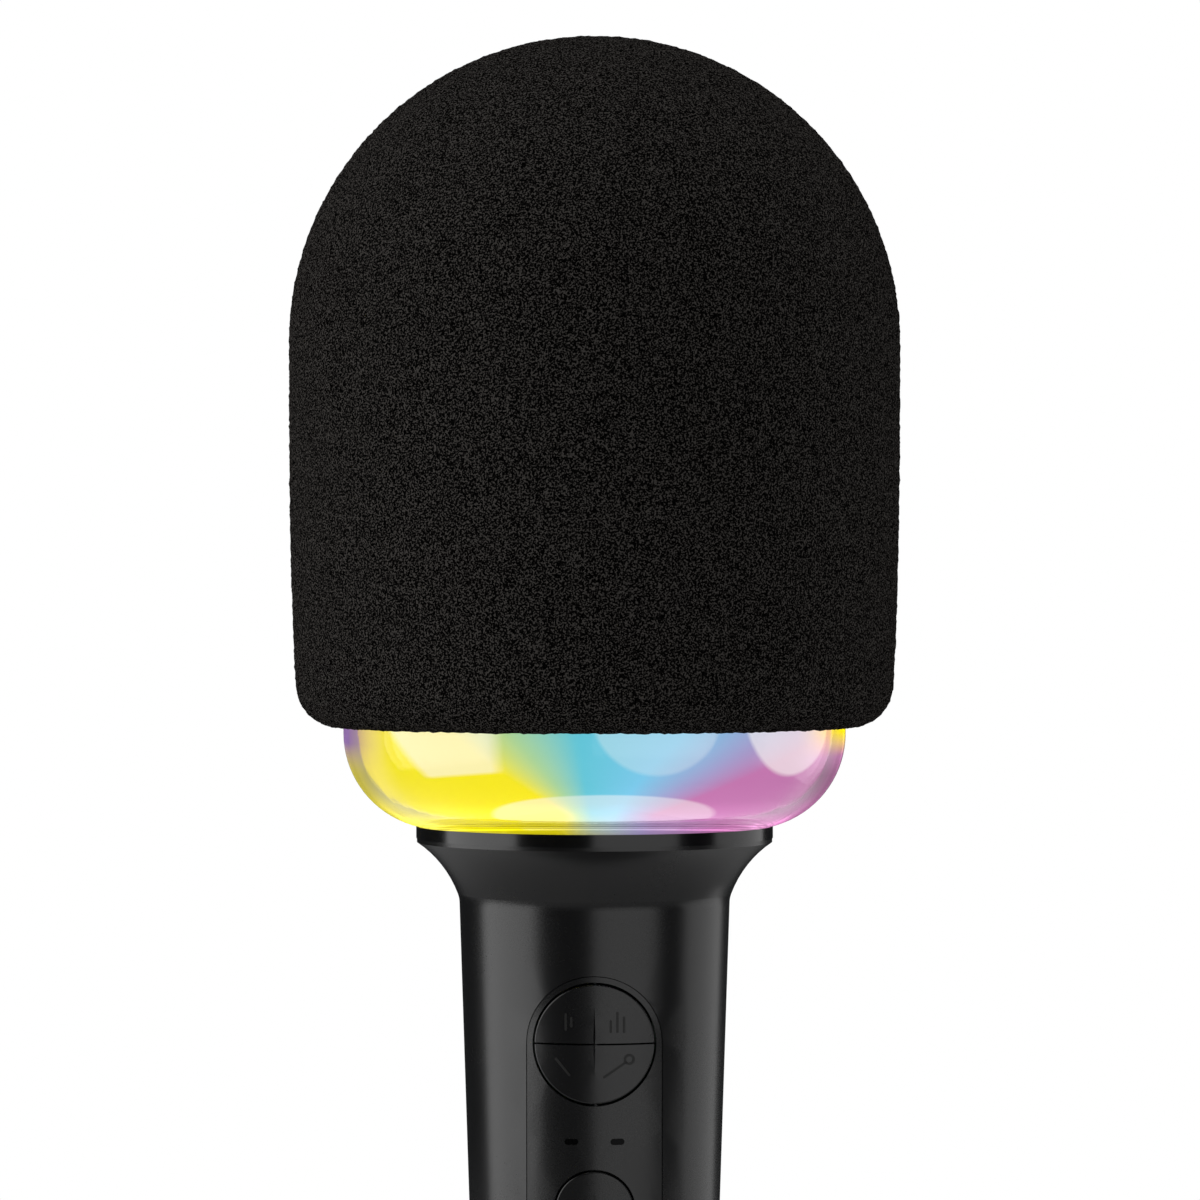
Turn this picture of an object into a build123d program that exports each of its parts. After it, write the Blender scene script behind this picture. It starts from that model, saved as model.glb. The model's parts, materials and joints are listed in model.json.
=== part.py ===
"""A karaoke microphone: a foam windscreen over a speaker and capsule, a lit bowl and a keyed handle.

Millimetres. +Z runs from the tail to the windscreen and the keys face -Y. The origin is the middle of
the face that the microphone stands on.
"""

import os
from math import asin, cos, degrees, radians, sin, sqrt

from build123d import *

# ---------------------------------------------------------------- clearances
slip = 0.1  # between pieces that are assembled and then stay still
running = 0.05  # radial, between a pin and the key that turns on it
key_gap = 0.3  # between a key and the edge of its hole
cloth_gap = 0.3  # between the windscreen and what it slips over
thread_gap = 0.2  # radial, between the grille's ring and the thread it screws on

# ---------------------------------------------------------------- handle
tail_radius = 15.9  # outer radius at the tail
neck_radius = 19.95  # outer radius at the foot of the flare
flare_reach = 3.2  # flare's top edge beyond the bowl's flat floor
handle_wall = 2.4
grip_length = 123.3  # from the tail cap to the foot of the flare
flare_height = 9.5
flare_lip = 0.6  # upright edge at the top of the flare
flare_sweep = 16.0  # radius of the flare's hollow curve
flare_blend = 4.0  # rounding where the grip meets the flare

tail_pad_proud = 0.6
tail_pad_thickness = 1.6
tail_pad_width = 4.4
cap_height = 8.4
cap_seam = 0.2
cap_wall = 2.2
cap_floor = 3.6
cap_rounding = 2.4
cap_spigot = 5.0  # how far the cap reaches into the handle

shell_low = tail_pad_proud + cap_height + cap_seam
neck_low = shell_low + grip_length
handle_top = neck_low + flare_height

# ---------------------------------------------------------------- keys and panel
pad_drop = 19.1  # from the foot of the flare down to the middle of the round key pair
pad_radius = 8.6
pad_slit = 0.25  # between the upper and the lower half-moon key
pad_crease = 0.12  # depth of the shallow line down the middle of each half-moon key
power_drop = 23.9  # from the middle of the key pair down to the power key
power_radius = 5.6
volume_space = 2.2  # from the power key's edge down to the volume key's end
volume_length = 20.0
volume_width = 11.2
panel_margin = 1.2  # panel beyond the key pair's edge
panel_wall = 1.2
panel_seam = 0.12
window_drop = 14.0  # from the middle of the key pair down to the indicator windows
window_spacing = 6.6
window_width = 1.9
window_height = 0.8
key_skin = 1.5  # thickness of a key's face and rim
key_edge = 0.25  # rounding of a key's outer edge
key_travel = 0.4
pad_rock = 3.0  # degrees that the half-moon keys turn, either way
volume_rock = 2.5  # degrees that the volume key turns, either way
touch_gap = 0.05  # left between a plunger and its switch at the end of the key's travel
key_lip = 0.7  # flange that keeps the power key behind the shell
key_lip_thickness = 0.9
pin_radius = 0.9
pin_hold = 0.02  # radial, between a pin and the ears that hold it still
pin_cover = 0.8  # plastic round a pin's bore
volume_pin_set = 0.6  # how much deeper the volume key's pin lies than the round pair's
ear_thickness = 1.8
ear_width = 2 * pin_radius + 2.4
key_web = 2 * (pin_radius + running + pin_cover)  # width of the web that the pin runs through

pad_z = neck_low - pad_drop
power_z = pad_z - power_drop
volume_z = power_z - power_radius - volume_space - volume_length / 2
window_z = pad_z - window_drop
panel_radius = pad_radius + panel_margin
panel_low = volume_z - volume_length / 2 + volume_width / 2 - panel_radius
panel_high = pad_z + panel_radius

# ---------------------------------------------------------------- lit bowl
head_radius = 37.0  # outer radius of the bowl's rim and of the grille
collar_height = 1.4
collar_overhang = 0.1  # collar beyond the flare
bowl_height = 17.6
bowl_corner = 14.0  # radius of the bowl's rounded side
bowl_wall = 1.8
diffuser_gap = 0.3
diffuser_wall = 1.2
core_radius = 15.5
core_wall = 3.0
core_flange_margin = 0.7  # flange beyond the heads of its screws
core_flange_thickness = 2.4
light_board_thickness = 1.2
light_board_margin = 1.2
led_count = 12
led_size = 3.5
led_height = 1.6

bowl_low = handle_top + collar_height
bowl_top = bowl_low + bowl_height
corner_radius = head_radius - bowl_corner  # where the bowl's floor starts to curve up
flare_radius = corner_radius + flare_reach
corner_z = bowl_low + bowl_corner
diffuser_floor = bowl_low + bowl_wall + diffuser_gap
core_low = diffuser_floor + diffuser_wall
light_board_low = core_low + core_flange_thickness

# ---------------------------------------------------------------- head
head_height = 99.0  # from the bowl's rim to the top of the windscreen
windscreen_wall = 7.8
windscreen_skirt = 2.8  # how far the windscreen covers the bowl
windscreen_taper = 1.4  # how much the windscreen draws in towards its lower edge
windscreen_rounding = 0.8  # share of the lower edge's width that its outer corner rounds off
grille_wall = 0.9
grille_ring_height = 7.0
liner_wall = 2.5
chassis_plate = 2.5
thread_height = 5.0
thread_wall = 2.5
cup_gap = 0.6  # radial, between the speaker's cup and the grille's lining
cup_wall = 2.0
magnet_room = 4.5  # under the speaker, for the wires

windscreen_top = bowl_top + head_height
windscreen_low = bowl_top - windscreen_skirt
cavity_radius = head_radius + cloth_gap
windscreen_radius = cavity_radius + windscreen_wall
dome_z = windscreen_top - windscreen_radius
chassis_top = bowl_top + chassis_plate
cup_radius = head_radius - grille_wall - liner_wall - cup_gap

# ---------------------------------------------------------------- speaker and capsule
speaker_margin = 0.4  # cup beyond the speaker's flange
speaker_flange_width = 6.6
speaker_flange_thickness = 1.2
speaker_screw_inset = 3.0  # from the cup's outside to a speaker screw
basket_depth = 15.0
basket_foot = 15.0
basket_wall = 1.2
basket_windows = 6
basket_window_width = 12.0
basket_window_margin = 2.0  # basket left above and below each window
basket_window_corner = 1.5
basket_slant = 0.6  # how far below the flange the basket's outside starts to draw in
basket_ledge = 3.0  # height of the step that the spider is glued to
spider_radius = 15.0
spider_waves = 3
spider_wave = 0.4  # height of its waves
spider_collar = 1.0  # flat part next to the coil
spider_seat = 2.0  # flat part that is glued to the ledge
ledge_width = 1.6
coil_room = 1.0  # between the coil and the basket's foot
coil_reach = 0.5  # how far the coil reaches below the upper washer
pole_radius = 6.6
coil_radius = 7.1
coil_wall = 0.3
washer_radius = 16.0
washer_thickness = 3.0
magnet_radius = 18.0
magnet_bore = 9.5
magnet_thickness = 7.0
surround_width = 4.4  # between the cone and the speaker's flange
cone_wall = 0.6
cone_depth = 7.0
cone_lip = 1.2
cone_bow = 60.0  # radius that the cone's sides curve to
dust_cap_lap = 1.3  # dust cap beyond the coil
dust_cap_rise = 2.6
surround_lap = 1.0  # part of the surround that lies on the cone
terminal_width = 8.0
terminal_depth = 5.0
terminal_height = 7.0
terminal_inset = 3.0  # from the speaker's opening in to the terminals
terminal_drop = 12.0  # from the speaker's face down to the terminals' foot
sheet = 0.4  # thickness of the surround and the spider
gasket_thickness = 0.8
bridge_ring_thickness = 2.0
bridge_arms = 4
bridge_arm_width = 2.6
bridge_arm_depth = 2.8
bridge_arm_inset = 0.8  # from the ring's outside in to an arm's foot
bridge_arm_bite = 0.5  # how far the arms run into the ring and the hub
bridge_arm_drop = 0.8  # from the hub's upper edge down to the arms
bridge_arm_bow = 2.0  # how much more than its rise an arm's radius is
hub_wall = 2.0
hub_height = 9.0
hub_rise = 28.0  # from the speaker's face to the middle of the capsule's seat
capsule_radius = 8.0
capsule_length = 14.0
capsule_drop = 2.0  # capsule below its seat
capsule_lip = 0.8
capsule_recess = 1.0
capsule_holes = 8
capsule_hole_radius = 0.8
grommet_wall = 2.2
grommet_lip = 1.2
cable_hole_gap = 0.3

speaker_flange_radius = cup_radius - speaker_margin
speaker_opening = speaker_flange_radius - speaker_flange_width
speaker_screw_circle = cup_radius - speaker_screw_inset
cone_edge = speaker_opening - surround_width
motor_height = 2 * washer_thickness + magnet_thickness
speaker_face = chassis_top + magnet_room + motor_height + basket_depth
cup_rim = speaker_face - speaker_flange_thickness
cup_depth = cup_rim - chassis_top
bridge_low = speaker_face + gasket_thickness
hub_z = speaker_face + hub_rise

# ---------------------------------------------------------------- electronics
board_gap = 4.3  # from the shell's inner face, at the volume key, to the tops of the switches
board_thickness = 1.2
board_width = 21.0
board_margin = 0.7  # between the board and the bosses of the upper case screws
socket_width = 5.0
socket_height = 3.4
socket_depth = 3.2
socket_spacing = 6.2
socket_drop = 6.5  # from the board's upper edge to the middle of the upper sockets
wire_radius = 0.5
cable_radius = 0.7
wire_bend = 2.0
light_cable_angle = 202.5  # direction in which the light's cable leaves the core
light_cable_rise = 2.0
capsule_cable_y = 2.6  # the capsule's cable runs beside one arm of the bridge
wire_spacing = 2.2
switch_height = 1.8
switch_size = 3.2
switch_button = 0.5  # height of the part that is pressed
switch_corner = 0.3
board_corner = 1.0
status_led_width = 2.0
status_led_height = 1.2
chips = (  # across, up, width and height of each chip
    (4.2, 0.0, 7.0, 7.0),
    (-4.6, -1.0, 5.0, 6.0),
    (-5.2, 6.5, 4.0, 5.0),
)
chip_thickness = 1.0
choke_places = ((7.4, 7.2), (1.8, 7.2))
choke_size = 4.6
choke_corner = 1.0
choke_height = 2.2
capacitor_places = ((0, -1.5), (0, 2.6), (9.2, 0), (-9.0, -1.5), (-9.0, 3.0))
capacitor_width = 1.2
capacitor_length = 2.4
capacitor_height = 0.9
chip_drop = 3.3  # from halfway between the sockets down to the largest chip
battery_socket_rise = 2.6  # above the cell
cell_radius = 9.2
cell_length = 65.0
cell_edge = 0.6
cell_rise = 21.0  # from the shell's lower edge to the cell
cradle_wall = 1.0
cradle_inset = 4.0  # cradle short of each end of the cell
cradle_window_corner = 1.5
guard_thickness = 1.2  # protection board on the cell
guard_inset = 0.7
charge_board_width = 15.0
charge_board_height = 14.0
charge_board_thickness = 1.0
charge_chips_drop = 3.2
charge_chips_size = ((3.2, 4.0, 4.0), (-3.2, 3.0, 3.4))  # across, width and height of each chip
charge_chips_thickness = 1.1
port_width = 8.94
port_depth = 3.26
port_length = 7.3
port_wall = 0.3
port_clearance = 0.25
port_inset = 0.3  # from the tail's face in to the port's mouth
solder = 0.02  # between the port's shell and its board
tongue_width = 6.7
tongue_thickness = 0.7
tongue_inset = 0.9  # from the port's mouth in to the tongue's tip

# ---------------------------------------------------------------- screws
case_screw_radius = 1.2
case_screw_head = 2.1
case_screw_head_height = 1.5
case_screw_length = 11.0
case_screw_seat = 4.5  # distance of a head's underside behind the parting face
case_boss_radius = 2.8
case_screw_share = 0.6  # how far out from the middle a case screw stands, as a share of the inside
case_screw_rise = 14.0  # lower pair, above the shell's lower edge
case_screw_drop = 2.5  # upper pair, below the foot of the flare
tail_boss_radius = 2.2
tail_screw_radius = 1.0
tail_screw_head = 1.8
tail_screw_head_height = 1.1
tail_screw_length = 12.0
neck_screw_radius = 1.25
neck_screw_head = 2.1
neck_screw_head_height = 1.4
neck_screw_room = 3.9  # from the core's outside to a neck screw
neck_pilot = 5.2  # depth of the neck screws' holes in the handle
neck_boss_radius = 2.5
chassis_screw_room = 2.1  # from the core's outside to a chassis screw
chassis_screw_length = 9.0
speaker_screw_length = 11.0
board_screw_radius = 0.85
board_screw_head = 1.6
board_screw_head_height = 0.9
board_screw_bite = 2.0  # how far the board's screws reach into their posts
board_post_radius = 1.9
screw_hole_gap = 0.05
pilot_spare = 0.5  # hole left beyond a screw's tip

core_bore = core_radius - core_wall
neck_screw_circle = core_radius + neck_screw_room
chassis_screw_circle = core_radius + chassis_screw_room
core_flange = neck_screw_circle + neck_screw_head + core_flange_margin


def grip_radius(z):
    """Outer radius of the handle at height z, below the flare."""
    return tail_radius + (neck_radius - tail_radius) * (z - shell_low) / grip_length


def shell_inside(z):
    """Inner radius of the handle at height z, below the flare."""
    return grip_radius(z) - handle_wall


switch_face = shell_inside(volume_z) - board_gap
board_face = switch_face - switch_height
board_back = board_face - board_thickness
case_screw_z = [shell_low + case_screw_rise, neck_low - case_screw_drop]
board_high = case_screw_z[1] - case_boss_radius - board_margin
board_low = panel_low - slip
board_post_x = board_width / 2 - board_post_radius - slip
board_post_z = [board_low + board_post_radius + slip, board_high - board_post_radius - slip]
key_back = switch_face + key_travel + touch_gap
pad_touch = switch_face + pad_radius / 2 * sin(radians(pad_rock)) + touch_gap
volume_touch = switch_face + volume_length / 3 * sin(radians(volume_rock)) + touch_gap
pad_pin_y = key_back + key_skin + pin_radius
volume_pin_y = key_back + key_skin + pin_radius - volume_pin_set
cell_low = shell_low + cell_rise
cell_y = shell_inside(cell_low) - 2 * slip - cradle_wall - slip - cell_radius
cap_low = tail_pad_proud
port_low = cap_low + port_inset
tail_boss_y = tail_radius - handle_wall - tail_boss_radius + 0.3
tail_screw_seat = cap_low + tail_pad_thickness - tail_pad_proud + tail_screw_head_height
tail_pilot = tail_screw_seat + tail_screw_length - shell_low + pilot_spare


def case_screw_x(z):
    """Distance of a case screw from the middle plane."""
    return case_screw_share * shell_inside(z)


def diagonals(circle):
    """Four places round a circle, between the axes."""
    return PolarLocations(circle, 4, start_angle=45)


def quarters(circle):
    """Four places round a circle, on the axes."""
    return PolarLocations(circle, 4)


def handle_section(inset):
    """Half section of the handle, drawn inset from its outer surface and filled to the axis."""
    neck = (neck_radius - inset, neck_low + flare_lip)
    with BuildSketch(Plane.XZ) as section:
        with BuildLine():
            foot = Line((0, shell_low), (tail_radius - inset, shell_low))
            grip = Line(foot @ 1, neck)
            flare = RadiusArc(grip @ 1, (flare_radius - inset, handle_top - flare_lip), flare_sweep)
            lip = Line(flare @ 1, (flare_radius - inset, handle_top))
            Polyline(lip @ 1, (0, handle_top), foot @ 0)
        make_face()
        fillet(section.vertices().sort_by_distance(neck)[0], flare_blend)
    return section.sketch


def bowl_section(inset, wall, hole, top):
    """Half section of a bowl that follows the lit bowl's outer surface at a distance of inset."""
    outer = bowl_corner - inset
    inner = outer - wall
    with BuildSketch(Plane.XZ) as section:
        with BuildLine():
            floor = Line((hole, corner_z - outer), (corner_radius, corner_z - outer))
            side = JernArc(floor @ 1, (1, 0), outer, 90)
            wall_out = Line(side @ 1, (corner_radius + outer, top))
            rim = Line(wall_out @ 1, (corner_radius + inner, top))
            wall_in = Line(rim @ 1, (corner_radius + inner, corner_z))
            hollow = JernArc(wall_in @ 1, (0, -1), inner, -90)
            Polyline(hollow @ 1, (hole, corner_z - inner), floor @ 0)
        make_face()
    return section.sketch


def dome_section(outer, wall, low):
    """Half section of a shell: a cylinder below the dome's centre and a half sphere above it."""
    inner = outer - wall
    with BuildSketch(Plane.XZ) as section:
        with BuildLine():
            side = Line((outer, low), (outer, dome_z))
            crown = RadiusArc(side @ 1, (0, dome_z + outer), -outer)
            top = Line(crown @ 1, (0, dome_z + inner))
            hollow = RadiusArc(top @ 1, (inner, dome_z), inner)
            Polyline(hollow @ 1, (inner, low), side @ 0)
        make_face()
    return section.sketch


def ring_sketch(outer, inner):
    """A flat ring."""
    Circle(outer)
    Circle(inner, mode=Mode.SUBTRACT)


def facing(depth):
    """The plane that looks out of the handle's front, depth in front of its axis."""
    return Plane.XZ.offset(depth)


def backing(depth):
    """The plane that looks out of the handle's back, depth in front of its axis."""
    return Plane(origin=(0, -depth, 0), x_dir=(-1, 0, 0), z_dir=(0, 1, 0))


def screw_set(seat, places, radius, length, head, head_height):
    """Cross-head screws whose heads stand on the seat plane."""
    with BuildPart() as screws:
        with BuildSketch(seat):
            with places:
                Circle(head)
        extrude(amount=head_height)
        with BuildSketch(seat):
            with places:
                Circle(radius)
        extrude(amount=-length)
        with BuildSketch(seat.offset(head_height)):
            with places:
                Rectangle(1.2 * head, 0.25 * head)
                Rectangle(0.25 * head, 1.2 * head)
        extrude(amount=-head_height / 2, mode=Mode.SUBTRACT)
    return screws


def wire_run(radius, bend, *points):
    """A wire of straight runs and round bends through the points."""
    with BuildPart() as wire:
        with BuildLine() as route:
            FilletPolyline(*points, radius=bend)
        with BuildSketch(Plane(route.line @ 0, z_dir=route.line % 0)):
            Circle(radius)
        sweep(path=route.line)
    return wire


# ---------------------------------------------------------------- blanks that several pieces are cut from
far = 2 * flare_radius  # longer than anything inside the handle

with BuildPart() as handle_solid:
    revolve(handle_section(0), axis=Axis.Z)

with BuildPart() as handle_hollow:
    revolve(handle_section(handle_wall), axis=Axis.Z)

with BuildPart() as panel_floor:
    revolve(handle_section(panel_wall), axis=Axis.Z)

with BuildPart() as key_inside:
    revolve(handle_section(key_skin), axis=Axis.Z)

with BuildPart() as lip_zone:
    revolve(handle_section(handle_wall + slip), axis=Axis.Z)
    lip_inside = handle_section(handle_wall + slip + key_lip_thickness)
    revolve(lip_inside, axis=Axis.Z, mode=Mode.SUBTRACT)

with BuildPart() as inner_space:
    revolve(handle_section(handle_wall + slip), axis=Axis.Z)

# The space inside the handle, with the posts, bosses and ears left standing in it.
with BuildPart() as cavity:
    add(handle_hollow.part)
    for z in case_screw_z:
        with BuildSketch(Plane.XZ):
            with Locations((case_screw_x(z), z), (-case_screw_x(z), z)):
                Circle(case_boss_radius)
        extrude(amount=far, both=True, mode=Mode.SUBTRACT)
    with BuildSketch(Plane.XY.offset(shell_low)):
        with Locations((0, -tail_boss_y), (0, tail_boss_y)):
            Circle(tail_boss_radius)
    extrude(amount=tail_pilot + 1.0, mode=Mode.SUBTRACT)
    with BuildSketch(Plane.XY.offset(neck_low - flare_blend)):
        with diagonals(neck_screw_circle):
            Circle(neck_boss_radius)
    extrude(amount=far, mode=Mode.SUBTRACT)
    with BuildSketch(facing(board_face)):
        with Locations(*[(x, z) for x in (-board_post_x, board_post_x) for z in board_post_z]):
            Circle(board_post_radius)
    extrude(amount=far, mode=Mode.SUBTRACT)
    ear_x = volume_width / 2 + key_gap + ear_thickness / 2 + slip
    ear_z = pad_radius + key_gap + ear_thickness / 2 + slip
    with BuildSketch(facing(key_back)):
        with Locations((-ear_x, volume_z), (ear_x, volume_z)):
            Rectangle(ear_thickness, ear_width)
        with Locations((0, pad_z - ear_z), (0, pad_z + ear_z)):
            Rectangle(ear_width, ear_thickness)
    extrude(amount=far, mode=Mode.SUBTRACT)

# ---------------------------------------------------------------- handle shells
with BuildPart() as front_shell:
    add(handle_solid.part)
    split(bisect_by=Plane.XZ, keep=Keep.TOP)
    add(cavity.part, mode=Mode.SUBTRACT)
    with BuildSketch(Plane.XZ) as panel_seat:
        with Locations((0, (panel_low + panel_high) / 2)):
            SlotOverall(panel_high - panel_low, 2 * panel_radius, rotation=90)
    recess = extrude(amount=far, mode=Mode.PRIVATE) - panel_floor.part
    add(recess, mode=Mode.SUBTRACT)
    with BuildSketch(Plane.XZ):
        with Locations((0, pad_z)):
            Circle(pad_radius + key_gap)
        with Locations((0, power_z)):
            Circle(power_radius + key_gap)
        with Locations((0, volume_z)):
            SlotOverall(volume_length + 2 * key_gap, volume_width + 2 * key_gap, rotation=90)
        with Locations((-window_spacing / 2, window_z), (window_spacing / 2, window_z)):
            SlotOverall(window_width + slip, window_height + slip)
    extrude(amount=far, mode=Mode.SUBTRACT)
    # pilot holes for the case screws, blind from the parting face
    for z in case_screw_z:
        with BuildSketch(Plane.XZ):
            with Locations((case_screw_x(z), z), (-case_screw_x(z), z)):
                Circle(case_screw_radius + screw_hole_gap)
        extrude(amount=case_screw_length - case_screw_seat + pilot_spare, mode=Mode.SUBTRACT)
    with BuildSketch(facing(board_face)):
        with Locations(*[(x, z) for x in (-board_post_x, board_post_x) for z in board_post_z]):
            Circle(board_screw_radius + screw_hole_gap)
    extrude(amount=board_screw_bite + 2 * slip, mode=Mode.SUBTRACT)
    with BuildSketch(Plane.XY.offset(handle_top)):
        with diagonals(neck_screw_circle):
            Circle(neck_screw_radius + screw_hole_gap)
    extrude(amount=-neck_pilot, mode=Mode.SUBTRACT)
    with BuildSketch(Plane.XY.offset(shell_low)):
        with Locations((0, -tail_boss_y)):
            Circle(tail_screw_radius + screw_hole_gap)
    extrude(amount=tail_pilot, mode=Mode.SUBTRACT)
    # seats of the two key pins
    with BuildSketch(Plane.XY.offset(pad_z)):
        with Locations((0, -pad_pin_y)):
            Circle(pin_radius + pin_hold)
    extrude(amount=ear_z + ear_thickness / 2, both=True, mode=Mode.SUBTRACT)
    with BuildSketch(Plane.YZ):
        with Locations((-volume_pin_y, volume_z)):
            Circle(pin_radius + pin_hold)
    extrude(amount=ear_x + ear_thickness / 2, both=True, mode=Mode.SUBTRACT)

with BuildPart() as rear_shell:
    add(handle_solid.part)
    split(bisect_by=Plane.XZ, keep=Keep.BOTTOM)
    add(cavity.part, mode=Mode.SUBTRACT)
    for z in case_screw_z:
        with BuildSketch(Plane.XZ):
            with Locations((case_screw_x(z), z), (-case_screw_x(z), z)):
                Circle(case_screw_radius + screw_hole_gap)
        extrude(amount=-far, mode=Mode.SUBTRACT)
        with BuildSketch(Plane.XZ.offset(-case_screw_seat)):
            with Locations((case_screw_x(z), z), (-case_screw_x(z), z)):
                Circle(case_screw_head + slip)
        extrude(amount=-far, mode=Mode.SUBTRACT)
    with BuildSketch(Plane.XY.offset(handle_top)):
        with diagonals(neck_screw_circle):
            Circle(neck_screw_radius + screw_hole_gap)
    extrude(amount=-neck_pilot, mode=Mode.SUBTRACT)
    with BuildSketch(Plane.XY.offset(shell_low)):
        with Locations((0, tail_boss_y)):
            Circle(tail_screw_radius + screw_hole_gap)
    extrude(amount=tail_pilot, mode=Mode.SUBTRACT)

case_screws = screw_set(
    backing(-case_screw_seat),
    Locations(*[(side * case_screw_x(z), z) for side in (-1, 1) for z in case_screw_z]),
    case_screw_radius,
    case_screw_length,
    case_screw_head,
    case_screw_head_height,
)

# ---------------------------------------------------------------- control panel and keys
with BuildPart() as control_panel:
    with BuildSketch(Plane.XZ):
        with Locations((0, (panel_low + panel_high) / 2)):
            SlotOverall(
                panel_high - panel_low - 2 * panel_seam,
                2 * panel_radius - 2 * panel_seam,
                rotation=90,
            )
        with Locations((0, pad_z)):
            Circle(pad_radius + key_gap, mode=Mode.SUBTRACT)
        with Locations((0, power_z)):
            Circle(power_radius + key_gap, mode=Mode.SUBTRACT)
        with Locations((0, volume_z)):
            SlotOverall(
                volume_length + 2 * key_gap,
                volume_width + 2 * key_gap,
                rotation=90,
                mode=Mode.SUBTRACT,
            )
        with Locations((-window_spacing / 2, window_z), (window_spacing / 2, window_z)):
            SlotOverall(window_width + slip, window_height + slip, mode=Mode.SUBTRACT)
    extrude(amount=far)
    add(handle_solid.part, mode=Mode.INTERSECT)
    add(panel_floor.part, mode=Mode.SUBTRACT)

with BuildPart() as indicator_windows:
    with BuildSketch(facing(board_face + led_height)):
        with Locations((-window_spacing / 2, window_z), (window_spacing / 2, window_z)):
            SlotOverall(window_width, window_height)
    extrude(amount=far)
    add(handle_solid.part, mode=Mode.INTERSECT)

with BuildPart() as round_key_blank:
    with BuildSketch(facing(key_back)):
        with Locations((0, pad_z)):
            Circle(pad_radius)
    extrude(amount=far)
    add(handle_solid.part, mode=Mode.INTERSECT)
    fillet(round_key_blank.faces().sort_by(Axis.Y)[0].edges(), key_edge)
    with BuildSketch(facing(0)):
        with Locations((0, pad_z)):
            Circle(pad_radius - key_skin)
    hollow = extrude(amount=far, mode=Mode.PRIVATE) & key_inside.part
    add(hollow, mode=Mode.SUBTRACT)


def half_moon(side):
    """The upper (+1) or the lower (-1) half of the round key pair, with its web, bore and plungers."""
    with BuildPart() as key:
        add(round_key_blank.part)
        with BuildSketch(facing(key_back)):
            with Locations((0, pad_z)):
                Rectangle(key_web, 2 * pad_radius - key_skin)
        web = extrude(amount=far, mode=Mode.PRIVATE) & panel_floor.part
        add(web)
        with BuildSketch(facing(pad_touch)):
            with Locations((0, pad_z + side * pad_radius / 2)):
                with GridLocations(pad_radius, 0, 2, 1):
                    Circle(switch_size / 2)
        plungers = extrude(amount=far, mode=Mode.PRIVATE) & panel_floor.part
        add(plungers)
        with BuildSketch(Plane.XZ):
            with Locations((0, pad_z + side * (far + pad_slit) / 2)):
                Rectangle(far, far)
        extrude(amount=far, mode=Mode.INTERSECT)
        with BuildSketch(Plane.XY.offset(pad_z)):
            with Locations((0, -pad_pin_y)):
                Circle(pin_radius + running)
            with Locations((0, -grip_radius(pad_z))):
                Rectangle(2 * pad_crease, 2 * pad_crease, rotation=45)
        extrude(amount=far, both=True, mode=Mode.SUBTRACT)
    return key


upper_key = half_moon(1)
lower_key = half_moon(-1)

with BuildPart() as pad_pin:
    with BuildSketch(Plane.XY.offset(pad_z)):
        with Locations((0, -pad_pin_y)):
            Circle(pin_radius)
    extrude(amount=ear_z + ear_thickness / 2 - slip, both=True)

with BuildPart() as power_key:
    with BuildSketch(facing(key_back)):
        with Locations((0, power_z)):
            Circle(power_radius + key_lip)
    extrude(amount=far)
    add(lip_zone.part, mode=Mode.INTERSECT)
    with BuildSketch(facing(key_back)):
        with Locations((0, power_z)):
            Circle(power_radius)
    cap = extrude(amount=far, mode=Mode.PRIVATE) & handle_solid.part
    add(cap)
    fillet(power_key.faces().sort_by(Axis.Y)[0].edges(), key_edge)
    with BuildSketch(facing(0)):
        with Locations((0, power_z)):
            ring_sketch(power_radius - key_skin, switch_size / 2)
    hollow = extrude(amount=far, mode=Mode.PRIVATE) & key_inside.part
    add(hollow, mode=Mode.SUBTRACT)

with BuildPart() as volume_key:
    with BuildSketch(facing(key_back)):
        with Locations((0, volume_z)):
            SlotOverall(volume_length, volume_width, rotation=90)
    extrude(amount=far)
    add(handle_solid.part, mode=Mode.INTERSECT)
    fillet(volume_key.faces().sort_by(Axis.Y)[0].edges(), key_edge)
    with BuildSketch(facing(0)):
        with Locations((0, volume_z)):
            SlotOverall(volume_length - 2 * key_skin, volume_width - 2 * key_skin, rotation=90)
            Rectangle(volume_width, key_web, mode=Mode.SUBTRACT)
    hollow = extrude(amount=far, mode=Mode.PRIVATE) & key_inside.part
    add(hollow, mode=Mode.SUBTRACT)
    with BuildSketch(facing(volume_touch)):
        with Locations((0, volume_z - volume_length / 3), (0, volume_z + volume_length / 3)):
            Circle(switch_size / 2)
    plungers = extrude(amount=far, mode=Mode.PRIVATE) & panel_floor.part
    add(plungers)
    with BuildSketch(Plane.YZ):
        with Locations((-volume_pin_y, volume_z)):
            Circle(pin_radius + running)
    extrude(amount=far, both=True, mode=Mode.SUBTRACT)

with BuildPart() as volume_pin:
    with BuildSketch(Plane.YZ):
        with Locations((-volume_pin_y, volume_z)):
            Circle(pin_radius)
    extrude(amount=ear_x + ear_thickness / 2 - slip, both=True)

# ---------------------------------------------------------------- main board
switch_places = [
    (-pad_radius / 2, pad_z + pad_radius / 2),
    (pad_radius / 2, pad_z + pad_radius / 2),
    (-pad_radius / 2, pad_z - pad_radius / 2),
    (pad_radius / 2, pad_z - pad_radius / 2),
    (0, power_z),
    (0, volume_z - volume_length / 3),
    (0, volume_z + volume_length / 3),
]

with BuildPart() as main_board:
    with BuildSketch(facing(board_back)):
        with Locations((0, (board_low + board_high) / 2)):
            RectangleRounded(board_width, board_high - board_low, board_corner)
        with Locations(*[(x, z) for x in (-board_post_x, board_post_x) for z in board_post_z]):
            Circle(board_screw_radius + screw_hole_gap, mode=Mode.SUBTRACT)
    extrude(amount=board_thickness)

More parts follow.
